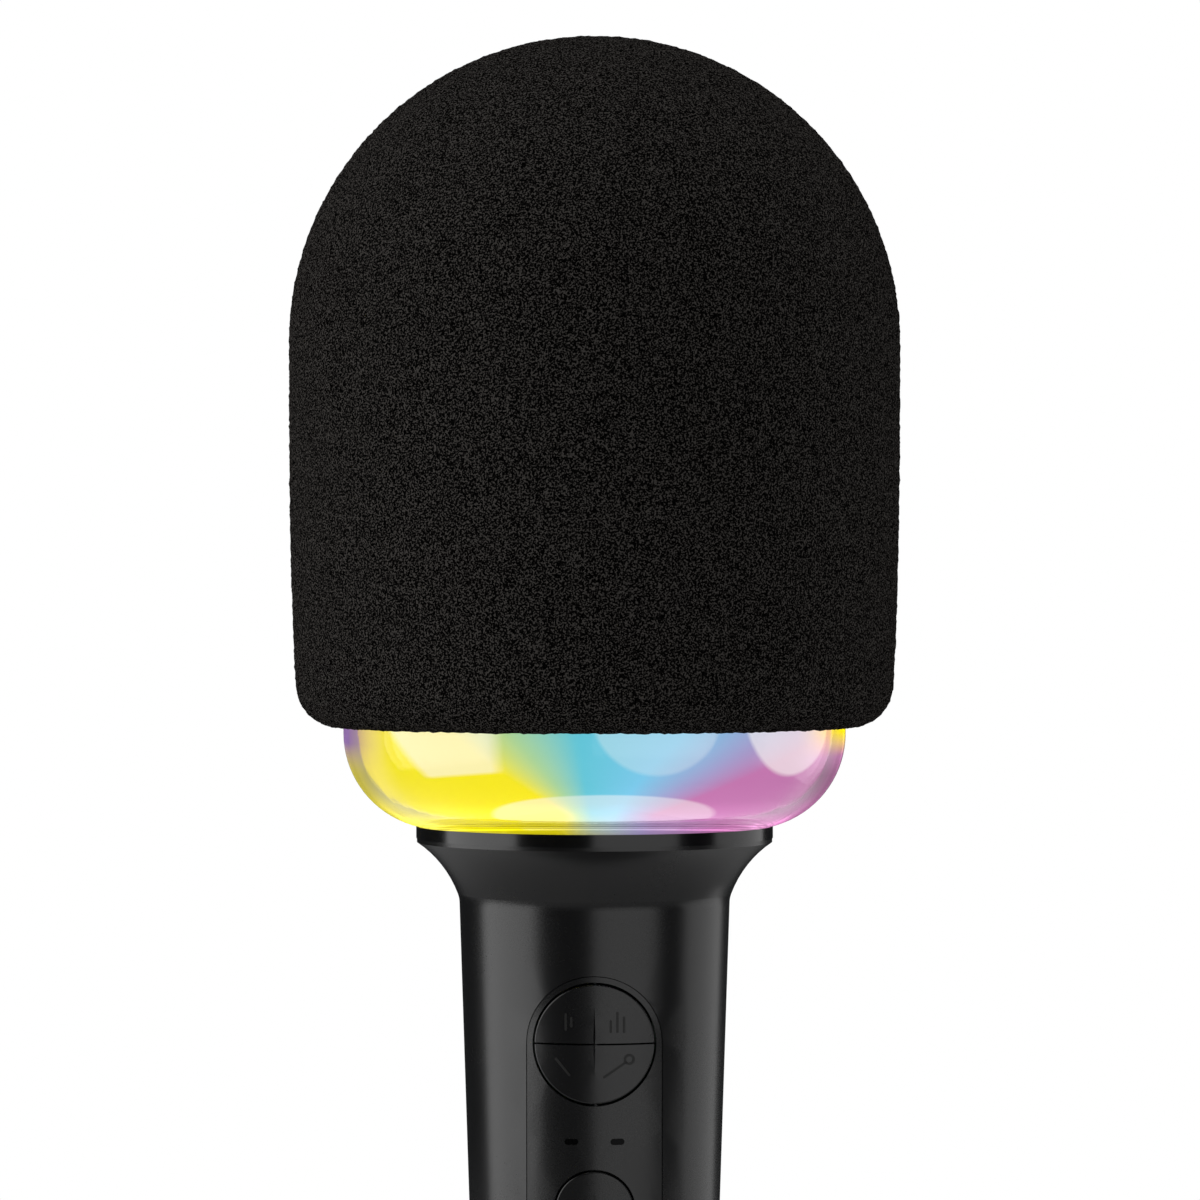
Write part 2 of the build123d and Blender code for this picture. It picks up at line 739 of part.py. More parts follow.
with BuildPart() as key_switches:
    with BuildSketch(facing(board_face)):
        with Locations(*switch_places):
            RectangleRounded(switch_size, switch_size, switch_corner)
    extrude(amount=switch_height - switch_button)
    with BuildSketch(facing(switch_face - switch_button)):
        with Locations(*switch_places):
            Circle(switch_size / 4)
    extrude(amount=switch_button)

with BuildPart() as status_leds:
    with BuildSketch(facing(board_face)):
        with Locations((-window_spacing / 2, window_z), (window_spacing / 2, window_z)):
            Rectangle(status_led_width, status_led_height)
    extrude(amount=led_height - slip)

board_screws = screw_set(
    backing(board_back),
    Locations(*[(x, z) for x in (-board_post_x, board_post_x) for z in board_post_z]),
    board_screw_radius,
    board_thickness + board_screw_bite,
    board_screw_head,
    board_screw_head_height,
)

socket_z = board_high - socket_drop
battery_socket_z = cell_low + cell_length + guard_thickness + battery_socket_rise
chip_z = (battery_socket_z + socket_z) / 2 - chip_drop
with BuildPart() as audio_chips:
    with BuildSketch(backing(board_back)):
        for across, up, width, height in chips:
            with Locations((across, chip_z + up)):
                Rectangle(width, height)
    extrude(amount=chip_thickness)

with BuildPart() as board_passives:
    with BuildSketch(backing(board_back)):
        with Locations(*[(across, chip_z + up) for across, up in choke_places]):
            RectangleRounded(choke_size, choke_size, choke_corner)
    extrude(amount=choke_height)
    with BuildSketch(backing(board_back)):
        with Locations(*[(across, chip_z + up) for across, up in capacitor_places]):
            Rectangle(capacitor_width, capacitor_length)
    extrude(amount=capacitor_height)

with BuildPart() as board_sockets:
    with BuildSketch(backing(board_back)):
        with Locations((-socket_spacing, socket_z), (0, socket_z), (socket_spacing, socket_z)):
            Rectangle(socket_width, socket_height)
        with Locations((0, battery_socket_z)):
            Rectangle(socket_width, socket_height)
    extrude(amount=socket_depth)
    with BuildSketch(facing(board_face)):
        with Locations((0, board_low + socket_height / 2 + slip)):
            Rectangle(socket_width, socket_height)
    extrude(amount=socket_depth - 0.6)

# ---------------------------------------------------------------- cell and charging port
with BuildPart() as battery_cell:
    with BuildSketch(Plane.XY.offset(cell_low)):
        with Locations((0, cell_y)):
            Circle(cell_radius)
    extrude(amount=cell_length)
    fillet(battery_cell.edges().filter_by(GeomType.CIRCLE), cell_edge)

with BuildPart() as cell_guard:
    with BuildSketch(Plane.XY.offset(cell_low + cell_length)):
        with Locations((0, cell_y)):
            Circle(cell_radius - guard_inset)
    extrude(amount=guard_thickness)

with BuildPart() as battery_cradle:
    with BuildSketch(Plane.XY.offset(cell_low + cradle_inset)):
        with Locations((0, cell_y)):
            Circle(cell_radius + slip + cradle_wall)
            with Locations((-cell_radius / 2, cell_radius), (cell_radius / 2, cell_radius)):
                Rectangle(cradle_wall, cell_radius)
            Circle(cell_radius + slip, mode=Mode.SUBTRACT)
            with Locations((0, -cell_radius)):
                Rectangle(far, 2 * cell_radius, mode=Mode.SUBTRACT)
    extrude(amount=cell_length - 2 * cradle_inset)
    add(inner_space.part, mode=Mode.INTERSECT)
    # windows that lighten the cradle
    with BuildSketch(Plane.XZ.offset(-cell_y)):
        with Locations(*[(0, cell_low + cell_length * share) for share in (0.25, 0.5, 0.75)]):
            RectangleRounded(cell_radius - 3 * cradle_wall, cell_length / 6, cradle_window_corner)
    extrude(amount=-far, mode=Mode.SUBTRACT)

charge_board_y = port_depth / 2 + solder
charge_board_low = cap_low + cap_floor + slip
with BuildPart() as charge_board:
    with BuildSketch(Plane.XZ.offset(-charge_board_y)):
        with Locations((0, charge_board_low + charge_board_height / 2)):
            Rectangle(charge_board_width, charge_board_height)
    extrude(amount=-charge_board_thickness)

with BuildPart() as charge_chips:
    with BuildSketch(Plane.XZ.offset(-charge_board_y)):
        for across, width, height in charge_chips_size:
            with Locations((across, charge_board_low + charge_board_height - charge_chips_drop)):
                Rectangle(width, height)
    extrude(amount=charge_chips_thickness)

with BuildPart() as usb_shell:
    with BuildSketch(Plane.XY.offset(port_low)):
        SlotOverall(port_width, port_depth)
        SlotOverall(port_width - 2 * port_wall, port_depth - 2 * port_wall, mode=Mode.SUBTRACT)
    extrude(amount=port_length)
    with BuildSketch(Plane.XY.offset(port_low + port_length)):
        SlotOverall(port_width, port_depth)
    extrude(amount=-port_wall)

with BuildPart() as usb_tongue:
    with BuildSketch(Plane.XY.offset(port_low + tongue_inset)):
        Rectangle(tongue_width, tongue_thickness)
    extrude(amount=port_length - tongue_inset - port_wall)

# ---------------------------------------------------------------- tail
cap_inside = tail_radius - handle_wall - slip - cap_wall
rail_x = charge_board_width / 2 + 0.4
with BuildPart() as tail_cap:
    with BuildSketch(Plane.XY.offset(cap_low)):
        Circle(tail_radius)
    extrude(amount=cap_height)
    fillet(tail_cap.faces().sort_by(Axis.Z)[0].edges(), cap_rounding)
    with BuildSketch(Plane.XY.offset(cap_low + cap_height)):
        Circle(tail_radius - handle_wall - slip)
        with Locations((0, -tail_boss_y), (0, tail_boss_y)):
            Circle(tail_boss_radius + slip, mode=Mode.SUBTRACT)
    extrude(amount=cap_spigot)
    with BuildSketch(Plane.XY.offset(cap_low + cap_floor)):
        Circle(cap_inside)
        with Locations((0, -tail_boss_y), (0, tail_boss_y)):
            Circle(tail_boss_radius, mode=Mode.SUBTRACT)
    extrude(amount=cap_height - cap_floor, mode=Mode.SUBTRACT)
    with BuildSketch(Plane.XY.offset(cap_low + cap_height)):
        Circle(cap_inside)
    extrude(amount=cap_spigot, mode=Mode.SUBTRACT)
    # rails that hold the charging board's edges
    with BuildSketch(Plane.XY.offset(cap_low + cap_floor)):
        with Locations((-rail_x, charge_board_y), (rail_x, charge_board_y)):
            Rectangle(2.0, 3.4)
        with Locations((0, charge_board_y + charge_board_thickness / 2)):
            Rectangle(
                charge_board_width + 2 * slip,
                charge_board_thickness + 0.04,
                mode=Mode.SUBTRACT,
            )
    extrude(amount=charge_board_height - 3.0)
    with BuildSketch(Plane.XY.offset(cap_low)):
        ring_sketch(tail_boss_y + tail_pad_width / 2, tail_boss_y - tail_pad_width / 2)
    extrude(amount=tail_pad_thickness - tail_pad_proud, mode=Mode.SUBTRACT)
    with BuildSketch(Plane.XY.offset(tail_screw_seat)):
        with Locations((0, -tail_boss_y), (0, tail_boss_y)):
            Circle(tail_screw_head + slip)
    extrude(amount=-tail_screw_seat, mode=Mode.SUBTRACT)
    with BuildSketch(Plane.XY.offset(cap_low)):
        with Locations((0, -tail_boss_y), (0, tail_boss_y)):
            Circle(tail_screw_radius + screw_hole_gap)
        SlotOverall(port_width + 2 * port_clearance, port_depth + 2 * port_clearance)
    extrude(amount=cap_height, mode=Mode.SUBTRACT)

tail_screws = screw_set(
    Plane.XY.offset(tail_screw_seat).rotated((180, 0, 0)),
    Locations((0, -tail_boss_y), (0, tail_boss_y)),
    tail_screw_radius,
    tail_screw_length,
    tail_screw_head,
    tail_screw_head_height,
)

with BuildPart() as tail_pad:
    with BuildSketch(Plane.XY):
        ring_sketch(
            tail_boss_y + tail_pad_width / 2 - slip, tail_boss_y - tail_pad_width / 2 + slip
        )
    extrude(amount=tail_pad_thickness)
    chamfer(tail_pad.faces().sort_by(Axis.Z)[0].edges(), 0.3)

# ---------------------------------------------------------------- collar, bowl and lights
with BuildPart() as bowl_envelope:
    revolve(bowl_section(0, bowl_corner - slip, 0, bowl_top), axis=Axis.Z)

with BuildPart() as collar_ring:
    with BuildSketch(Plane.XY.offset(handle_top)):
        ring_sketch(flare_radius + collar_overhang, core_radius + slip)
        with diagonals(neck_screw_circle):
            Circle(neck_screw_radius + screw_hole_gap, mode=Mode.SUBTRACT)
    extrude(amount=collar_height)
    lip_rise = bowl_corner - sqrt(bowl_corner**2 - (flare_radius - corner_radius) ** 2)
    with BuildSketch(Plane.XY.offset(bowl_low)):
        ring_sketch(flare_radius + collar_overhang, corner_radius)
    extrude(amount=lip_rise)
    add(bowl_envelope.part, mode=Mode.SUBTRACT)

with BuildPart() as light_bowl:
    revolve(bowl_section(0, bowl_wall, core_radius + slip, bowl_top), axis=Axis.Z)
    with BuildSketch(Plane.XY.offset(bowl_low)):
        with diagonals(neck_screw_circle):
            Circle(neck_screw_radius + screw_hole_gap)
    extrude(amount=bowl_wall, mode=Mode.SUBTRACT)

with BuildPart() as light_diffuser:
    diffuser_inset = bowl_wall + diffuser_gap
    section = bowl_section(diffuser_inset, diffuser_wall, core_radius + slip, bowl_top)
    revolve(section, axis=Axis.Z)
    with BuildSketch(Plane.XY.offset(diffuser_floor)):
        ring_sketch(core_flange, core_radius + slip)
    extrude(amount=-diffuser_gap)
    with BuildSketch(Plane.XY.offset(diffuser_floor - diffuser_gap)):
        with diagonals(neck_screw_circle):
            Circle(neck_screw_radius + screw_hole_gap)
    extrude(amount=diffuser_gap + diffuser_wall, mode=Mode.SUBTRACT)

diffuser_inside = bowl_corner - bowl_wall - diffuser_gap - diffuser_wall
light_board_drop = corner_z - light_board_low
light_board_radius = (
    corner_radius + sqrt(diffuser_inside**2 - light_board_drop**2) - light_board_margin
)
led_circle = (light_board_radius + neck_screw_circle + neck_screw_head) / 2

with BuildPart() as core_tube:
    with BuildSketch(Plane.XY.offset(handle_top - 1.0)):
        ring_sketch(core_radius, core_bore)
    extrude(amount=bowl_top - handle_top + 1.0)
    with BuildSketch(Plane.XY.offset(core_low)):
        ring_sketch(core_flange, core_bore)
    extrude(amount=core_flange_thickness)
    with BuildSketch(Plane.XY.offset(bowl_top - core_flange_thickness)):
        ring_sketch(core_flange, core_bore)
    extrude(amount=core_flange_thickness)
    with BuildSketch(Plane.XY.offset(bowl_top - chassis_screw_length + chassis_plate - 1.0)):
        with quarters(chassis_screw_circle):
            Circle(neck_boss_radius)
    extrude(amount=chassis_screw_length - chassis_plate)
    with BuildSketch(Plane.XY.offset(core_low)):
        with diagonals(neck_screw_circle):
            Circle(neck_screw_radius + screw_hole_gap)
    extrude(amount=core_flange_thickness, mode=Mode.SUBTRACT)
    with BuildSketch(Plane.XY.offset(bowl_top)):
        with quarters(chassis_screw_circle):
            Circle(neck_screw_radius + screw_hole_gap)
    extrude(amount=-(chassis_screw_length - chassis_plate + pilot_spare), mode=Mode.SUBTRACT)
    with BuildSketch(Plane.YZ.rotated((0, 0, light_cable_angle))):
        with Locations((0, light_board_low + light_board_thickness + light_cable_rise)):
            Circle(cable_radius + 0.4)
    extrude(amount=core_flange, mode=Mode.SUBTRACT)

with BuildPart() as light_board:
    with BuildSketch(Plane.XY.offset(light_board_low)):
        ring_sketch(light_board_radius, core_radius + slip)
        with diagonals(neck_screw_circle):
            Circle(neck_screw_radius + screw_hole_gap, mode=Mode.SUBTRACT)
    extrude(amount=light_board_thickness)

with BuildPart() as light_leds:
    with BuildSketch(Plane.XY.offset(light_board_low + light_board_thickness)):
        with PolarLocations(led_circle, led_count):
            Rectangle(led_size, led_size)
    extrude(amount=led_height)

light_board_top = light_board_low + light_board_thickness
neck_screw_set = screw_set(
    Plane.XY.offset(light_board_top),
    diagonals(neck_screw_circle),
    neck_screw_radius,
    light_board_top - handle_top + neck_pilot - pilot_spare,
    neck_screw_head,
    neck_screw_head_height,
)

# ---------------------------------------------------------------- head chassis
with BuildPart() as speaker_cup:
    with BuildSketch(Plane.XY.offset(bowl_top)):
        ring_sketch(head_radius, core_bore)
    extrude(amount=chassis_plate)
    skirt_outer = corner_radius + diffuser_inside - slip
    with BuildSketch(Plane.XY.offset(bowl_top)):
        ring_sketch(skirt_outer, skirt_outer - 1.6)
    extrude(amount=-1.5)
    with BuildSketch(Plane.XY.offset(chassis_top)):
        ring_sketch(cup_radius, cup_radius - cup_wall)
        with diagonals(speaker_screw_circle):
            Circle(neck_boss_radius)
    extrude(amount=cup_depth)
    with BuildSketch(Plane.XY.offset(chassis_top)):
        ring_sketch(head_radius - thread_wall - thread_gap, cup_radius - cup_wall)
    extrude(amount=thread_height)
    with BuildSketch(Plane.XY.offset(chassis_top)):
        with quarters(chassis_screw_circle):
            Circle(neck_screw_radius + screw_hole_gap)
    extrude(amount=-chassis_plate, mode=Mode.SUBTRACT)
    with BuildSketch(Plane.XY.offset(cup_rim)):
        with diagonals(speaker_screw_circle):
            Circle(neck_screw_radius + screw_hole_gap)
    extrude(amount=-speaker_screw_length, mode=Mode.SUBTRACT)

chassis_screw_set = screw_set(
    Plane.XY.offset(chassis_top),
    quarters(chassis_screw_circle),
    neck_screw_radius,
    chassis_screw_length,
    neck_screw_head,
    neck_screw_head_height,
)

with BuildPart() as head_screws:
    add(neck_screw_set.part)
    add(chassis_screw_set.part)

# ---------------------------------------------------------------- speaker
basket_low = speaker_face - basket_depth
ledge_z = basket_low + basket_ledge
ledge_outer = spider_radius + 0.2
basket_side_top = speaker_face - speaker_flange_thickness - basket_slant
basket_window_height = basket_depth - basket_ledge - 2 * basket_window_margin
with BuildPart() as speaker_basket:
    with BuildSketch(Plane.XZ):
        with BuildLine():
            Polyline(
                (speaker_flange_radius, speaker_face),
                (speaker_opening, speaker_face),
                (speaker_opening, speaker_face - speaker_flange_thickness),
                (ledge_outer, ledge_z),
                (spider_radius - ledge_width, ledge_z),
                (spider_radius - ledge_width, basket_low + basket_wall),
                (coil_radius + coil_wall + coil_room, basket_low + basket_wall),
                (coil_radius + coil_wall + coil_room, basket_low),
                (basket_foot, basket_low),
                (speaker_opening + basket_wall, basket_side_top),
                (speaker_opening + basket_wall, speaker_face - speaker_flange_thickness),
                (speaker_flange_radius, speaker_face - speaker_flange_thickness),
                close=True,
            )
        make_face()
    revolve(axis=Axis.Z)
    # openings in the basket's side
    for index in range(basket_windows):
        window = Plane.XZ.rotated((0, 0, (index + 0.5) * 360 / basket_windows))
        with BuildSketch(window):
            with Locations((0, (ledge_z + speaker_face - speaker_flange_thickness) / 2)):
                RectangleRounded(basket_window_width, basket_window_height, basket_window_corner)
        extrude(amount=far, mode=Mode.SUBTRACT)
    with BuildSketch(Plane.XY.offset(speaker_face)):
        with diagonals(speaker_screw_circle):
            Circle(neck_screw_radius + screw_hole_gap)
        with Locations((speaker_screw_circle - cable_radius, capsule_cable_y)):
            Circle(cable_radius + cable_hole_gap)
    extrude(amount=-speaker_flange_thickness, mode=Mode.SUBTRACT)

terminal_y = speaker_opening - terminal_inset
terminal_low = speaker_face - terminal_drop
with BuildPart() as speaker_terminals:
    with BuildSketch(Plane.XY.offset(terminal_low)):
        with Locations((0, terminal_y)):
            Rectangle(terminal_width, terminal_depth)
    extrude(amount=terminal_height)
    with BuildSketch(Plane.XZ):
        with BuildLine():
            Polyline(
                (0, basket_low),
                (basket_foot, basket_low),
                (speaker_opening + basket_wall, basket_side_top),
                (0, speaker_face),
                close=True,
            )
        make_face()
    revolve(axis=Axis.Z, mode=Mode.SUBTRACT)

with BuildPart() as magnet_washer:
    with BuildSketch(Plane.XY.offset(basket_low - washer_thickness)):
        ring_sketch(washer_radius, coil_radius + coil_wall + 0.4)
    extrude(amount=washer_thickness)

with BuildPart() as magnet:
    with BuildSketch(Plane.XY.offset(basket_low - washer_thickness - magnet_thickness)):
        ring_sketch(magnet_radius, magnet_bore)
    extrude(amount=magnet_thickness)

with BuildPart() as back_plate:
    with BuildSketch(Plane.XY.offset(basket_low - 2 * washer_thickness - magnet_thickness)):
        Circle(washer_radius)
    extrude(amount=washer_thickness)
    with BuildSketch(Plane.XY.offset(basket_low - washer_thickness - magnet_thickness)):
        Circle(pole_radius)
    extrude(amount=washer_thickness + magnet_thickness)

cone_low = speaker_face - cone_depth - cone_wall
coil_low = basket_low - washer_thickness - coil_reach
coil_outer = coil_radius + coil_wall
with BuildPart() as voice_coil:
    with BuildSketch(Plane.XY.offset(coil_low)):
        ring_sketch(coil_outer, coil_radius)
    extrude(amount=cone_low - coil_low)

with BuildPart() as speaker_cone:
    with BuildSketch(Plane.XZ):
        with BuildLine():
            neck = Line((coil_radius, cone_low), (coil_outer, cone_low))
            lower = RadiusArc(neck @ 1, (cone_edge - cone_lip, speaker_face - cone_wall), -cone_bow)
            rim = Polyline(
                lower @ 1,
                (cone_edge, speaker_face - cone_wall),
                (cone_edge, speaker_face),
                (cone_edge - cone_lip, speaker_face),
            )
            upper = RadiusArc(rim @ 1, (coil_radius, cone_low + cone_wall), cone_bow)
            Line(upper @ 1, neck @ 0)
        make_face()
    revolve(axis=Axis.Z)

dust_cap_radius = coil_outer + dust_cap_lap
dust_cap_low = cone_low + 2 * cone_wall
dust_cap_sweep = (dust_cap_radius**2 + dust_cap_rise**2) / (2 * dust_cap_rise)
dust_cap_angle = degrees(asin(dust_cap_radius / dust_cap_sweep))
with BuildPart() as dust_cap:
    with BuildSketch(Plane.XZ):
        with BuildLine():
            crown = (0, dust_cap_low + dust_cap_rise)
            ceiling = (0, dust_cap_low + dust_cap_rise - sheet)
            outer = JernArc(crown, (1, 0), dust_cap_sweep, -dust_cap_angle)
            inner = JernArc(ceiling, (1, 0), dust_cap_sweep - sheet, -dust_cap_angle)
            Line(outer @ 1, inner @ 1)
            Line(outer @ 0, inner @ 0)
        make_face()
    revolve(axis=Axis.Z)
    add(speaker_cone.part, mode=Mode.SUBTRACT)

with BuildPart() as speaker_surround:
    with BuildSketch(Plane.XZ):
        roll = (speaker_opening - cone_edge) / 2
        with Locations((cone_edge + roll, speaker_face)):
            Circle(roll)
            Circle(roll - sheet, mode=Mode.SUBTRACT)
            Rectangle(2 * roll, roll, align=(Align.CENTER, Align.MAX), mode=Mode.SUBTRACT)
        with Locations((cone_edge - surround_lap, speaker_face)):
            Rectangle(surround_lap + sheet, sheet, align=(Align.MIN, Align.MIN))
        with Locations((speaker_opening + sheet - slip, speaker_face)):
            Rectangle(2 * sheet - slip, sheet, align=(Align.MAX, Align.MIN))
    revolve(axis=Axis.Z)

spider_pitch = (spider_radius - spider_seat - coil_outer - spider_collar) / (2 * spider_waves)
with BuildPart() as speaker_spider:
    under = [(coil_outer, ledge_z)]
    for index in range(2 * spider_waves + 1):
        rise = spider_wave if index % 2 else 0
        under.append((coil_outer + spider_collar + index * spider_pitch, ledge_z + rise))
    under.append((spider_radius, ledge_z))
    over = [(r, z + sheet) for r, z in reversed(under)]
    with BuildSketch(Plane.XZ):
        with BuildLine():
            Polyline(*under, *over, close=True)
        make_face()
    revolve(axis=Axis.Z)

with BuildPart() as speaker_gasket:
    with BuildSketch(Plane.XY.offset(speaker_face)):
        ring_sketch(speaker_flange_radius, speaker_opening + sheet)
        with diagonals(speaker_screw_circle):
            Circle(neck_screw_radius + screw_hole_gap, mode=Mode.SUBTRACT)
        with Locations((speaker_screw_circle - cable_radius, capsule_cable_y)):
            Circle(cable_radius + cable_hole_gap, mode=Mode.SUBTRACT)
    extrude(amount=gasket_thickness)

# ---------------------------------------------------------------- capsule and its bridge
hub_inner = capsule_radius + grommet_wall
with BuildPart() as capsule_bridge:
    with BuildSketch(Plane.XY.offset(bridge_low)):
        ring_sketch(speaker_flange_radius, speaker_opening + sheet)
    extrude(amount=bridge_ring_thickness)
    with BuildSketch(Plane.XY.offset(hub_z - hub_height / 2)):
        ring_sketch(hub_inner + hub_wall, hub_inner)
    extrude(amount=hub_height)
    for index in range(bridge_arms):
        radial = Plane.XZ.rotated((0, 0, index * 360 / bridge_arms))
        with BuildSketch(radial):
            foot = speaker_flange_radius - bridge_arm_inset
            foot_z = bridge_low + bridge_arm_bite
            tip = hub_inner + bridge_arm_bite
            tip_z = hub_z + hub_height / 2 - bridge_arm_drop
            bow = hub_rise + bridge_arm_bow
            with BuildLine():
                back = RadiusArc((foot, foot_z), (tip, tip_z), -bow)
                top = Line(back @ 1, (tip, tip_z - bridge_arm_depth))
                front = RadiusArc(top @ 1, (foot - bridge_arm_depth, foot_z), bow - bridge_arm_depth)
                Line(front @ 1, back @ 0)
            make_face()
        extrude(amount=bridge_arm_width / 2, both=True)
    with BuildSketch(Plane.XY.offset(bridge_low)):
        with diagonals(speaker_screw_circle):
            Circle(neck_screw_radius + screw_hole_gap)
        with Locations((speaker_screw_circle - cable_radius, capsule_cable_y)):
            Circle(cable_radius + cable_hole_gap)
    extrude(amount=bridge_ring_thickness, mode=Mode.SUBTRACT)

speaker_screws = screw_set(
    Plane.XY.offset(bridge_low + bridge_ring_thickness),
    diagonals(speaker_screw_circle),
    neck_screw_radius,
    speaker_screw_length,
    neck_screw_head,
    neck_screw_head_height,
)

with BuildPart() as capsule_grommet:
    with BuildSketch(Plane.XY.offset(hub_z - hub_height / 2 - grommet_lip)):
        ring_sketch(hub_inner - slip, capsule_radius)
    extrude(amount=hub_height + 2 * grommet_lip)
    with BuildSketch(Plane.XY.offset(hub_z + hub_height / 2)):
        ring_sketch(hub_inner + grommet_lip, capsule_radius)
    extrude(amount=grommet_lip)

capsule_low = hub_z - hub_height / 2 - capsule_drop
with BuildPart() as capsule_body:
    with BuildSketch(Plane.XY.offset(capsule_low)):
        Circle(capsule_radius)
    extrude(amount=capsule_length)
    with BuildSketch(Plane.XY.offset(capsule_low + capsule_length)):
        Circle(capsule_radius - capsule_lip)
    extrude(amount=-capsule_recess, mode=Mode.SUBTRACT)

with BuildPart() as capsule_face:
    with BuildSketch(Plane.XY.offset(capsule_low + capsule_length - capsule_recess)):
        Circle(capsule_radius - capsule_lip)
        with PolarLocations(capsule_radius / 2, capsule_holes):
            Circle(capsule_hole_radius, mode=Mode.SUBTRACT)
        Circle(capsule_hole_radius, mode=Mode.SUBTRACT)
    extrude(amount=capsule_lip)

# ---------------------------------------------------------------- wires
socket_y = socket_depth - board_back
under_magnet = chassis_top + cable_radius + neck_screw_head_height + 0.4
core_y = core_bore - 4.5
charge_wire_y = -(board_face + (socket_depth - 0.6) / 2)
charge_top = charge_board_low + charge_board_height
cell_wire_z = cell_low + cell_length + guard_thickness
capsule_cable_x = speaker_screw_circle - cable_radius


def wire_pair(path):
    """Two like wires side by side; path gives one wire's points at a distance from the middle."""
    wires = [wire_run(wire_radius, wire_bend, *path(side * wire_spacing / 2)) for side in (-1, 1)]
    with BuildPart() as pair:
        for wire in wires:
            add(wire.part)
    return pair


def speaker_path(x):
    """From the speaker's terminals, under the magnet and down the core to the board."""
    return [
        (x, terminal_y, terminal_low),
        (x, terminal_y, under_magnet),
        (x, core_y, under_magnet),
        (x, core_y, socket_z),
        (x, socket_y, socket_z),
    ]


def battery_path(x):
    """From the cell's protection board to the socket above it."""
    return [
        (x, cell_y, cell_wire_z),
        (x, cell_y, battery_socket_z),
        (x, socket_y, battery_socket_z),
    ]


def charge_path(x):
    """From the charging board, in front of the cell, to the board's lower socket."""
    return [
        (x, charge_board_y + charge_board_thickness / 2, charge_top),
        (x, charge_board_y + charge_board_thickness / 2, charge_top + 2.5),
        (x, charge_wire_y, charge_top + 2.5),
        (x, charge_wire_y, board_low + slip),
    ]


speaker_leads = wire_pair(speaker_path)
battery_leads = wire_pair(battery_path)
charge_leads = wire_pair(charge_path)
with BuildPart() as power_leads:
    add(battery_leads.part)
    add(charge_leads.part)

capsule_cable = wire_run(
    cable_radius,
    wire_bend,
    (3.0, capsule_cable_y, capsule_low),
    (3.0, capsule_cable_y, capsule_low - 3.2),
    (capsule_cable_x, capsule_cable_y, bridge_low + 6.0),
    (capsule_cable_x, capsule_cable_y, under_magnet),
    (socket_spacing, capsule_cable_y, under_magnet),
    (socket_spacing, capsule_cable_y, socket_z),
    (socket_spacing, socket_y, socket_z),
)

light_cable_z = light_board_top + light_cable_rise
light_cable_start = (neck_screw_circle - 2.0) * Vector(1, 0).rotate(Axis.Z, light_cable_angle)
light_cable_turn = -socket_spacing / cos(radians(light_cable_angle)) * Vector(1, 0).rotate(
    Axis.Z, light_cable_angle
)
light_cable = wire_run(
    cable_radius,
    wire_bend - 0.4,
    light_cable_start + Vector(0, 0, light_board_top),
    light_cable_start + Vector(0, 0, light_cable_z),
    light_cable_turn + Vector(0, 0, light_cable_z),
    light_cable_turn + Vector(0, 0, socket_z),
    Vector(-socket_spacing, socket_y, socket_z),
)

# ---------------------------------------------------------------- grille and windscreen
grille_ring_low = chassis_top + slip
grille_ring_top = grille_ring_low + grille_ring_height
with BuildPart() as grille_ring:
    with BuildSketch(Plane.XY.offset(grille_ring_low)):
        ring_sketch(head_radius, head_radius - thread_wall)
    extrude(amount=grille_ring_height)
    chamfer(grille_ring.faces().sort_by(Axis.Z)[0].edges().sort_by(SortBy.RADIUS)[-1], 0.5)

with BuildPart() as grille_dome:
    revolve(dome_section(head_radius, grille_wall, grille_ring_top), axis=Axis.Z)

with BuildPart() as pop_filter:
    section = dome_section(head_radius - grille_wall, liner_wall, grille_ring_top + 1.0)
    revolve(section, axis=Axis.Z)

with BuildPart() as foam_windscreen:
    with BuildSketch(Plane.XZ):
        with BuildLine():
            crown = RadiusArc((0, windscreen_top), (windscreen_radius, dome_z), windscreen_radius)
            side = TangentArc(
                crown @ 1, (windscreen_radius - windscreen_taper, windscreen_low), tangent=(0, -1)
            )
            base = Line(side @ 1, (cavity_radius, windscreen_low))
            inside = Line(base @ 1, (cavity_radius, dome_z))
            roof = RadiusArc(inside @ 1, (0, dome_z + cavity_radius), -cavity_radius)
            Line(roof @ 1, crown @ 0)
        make_face()
        edge_width = windscreen_wall - windscreen_taper
        outer_corner = vertices().group_by(Axis.Y)[0].sort_by(Axis.X)[-1]
        fillet(outer_corner, windscreen_rounding * edge_width)
        inner_corner = vertices().group_by(Axis.Y)[0].sort_by(Axis.X)[0]
        fillet(inner_corner, (1 - windscreen_rounding) * edge_width / 2)
    revolve(axis=Axis.Z)

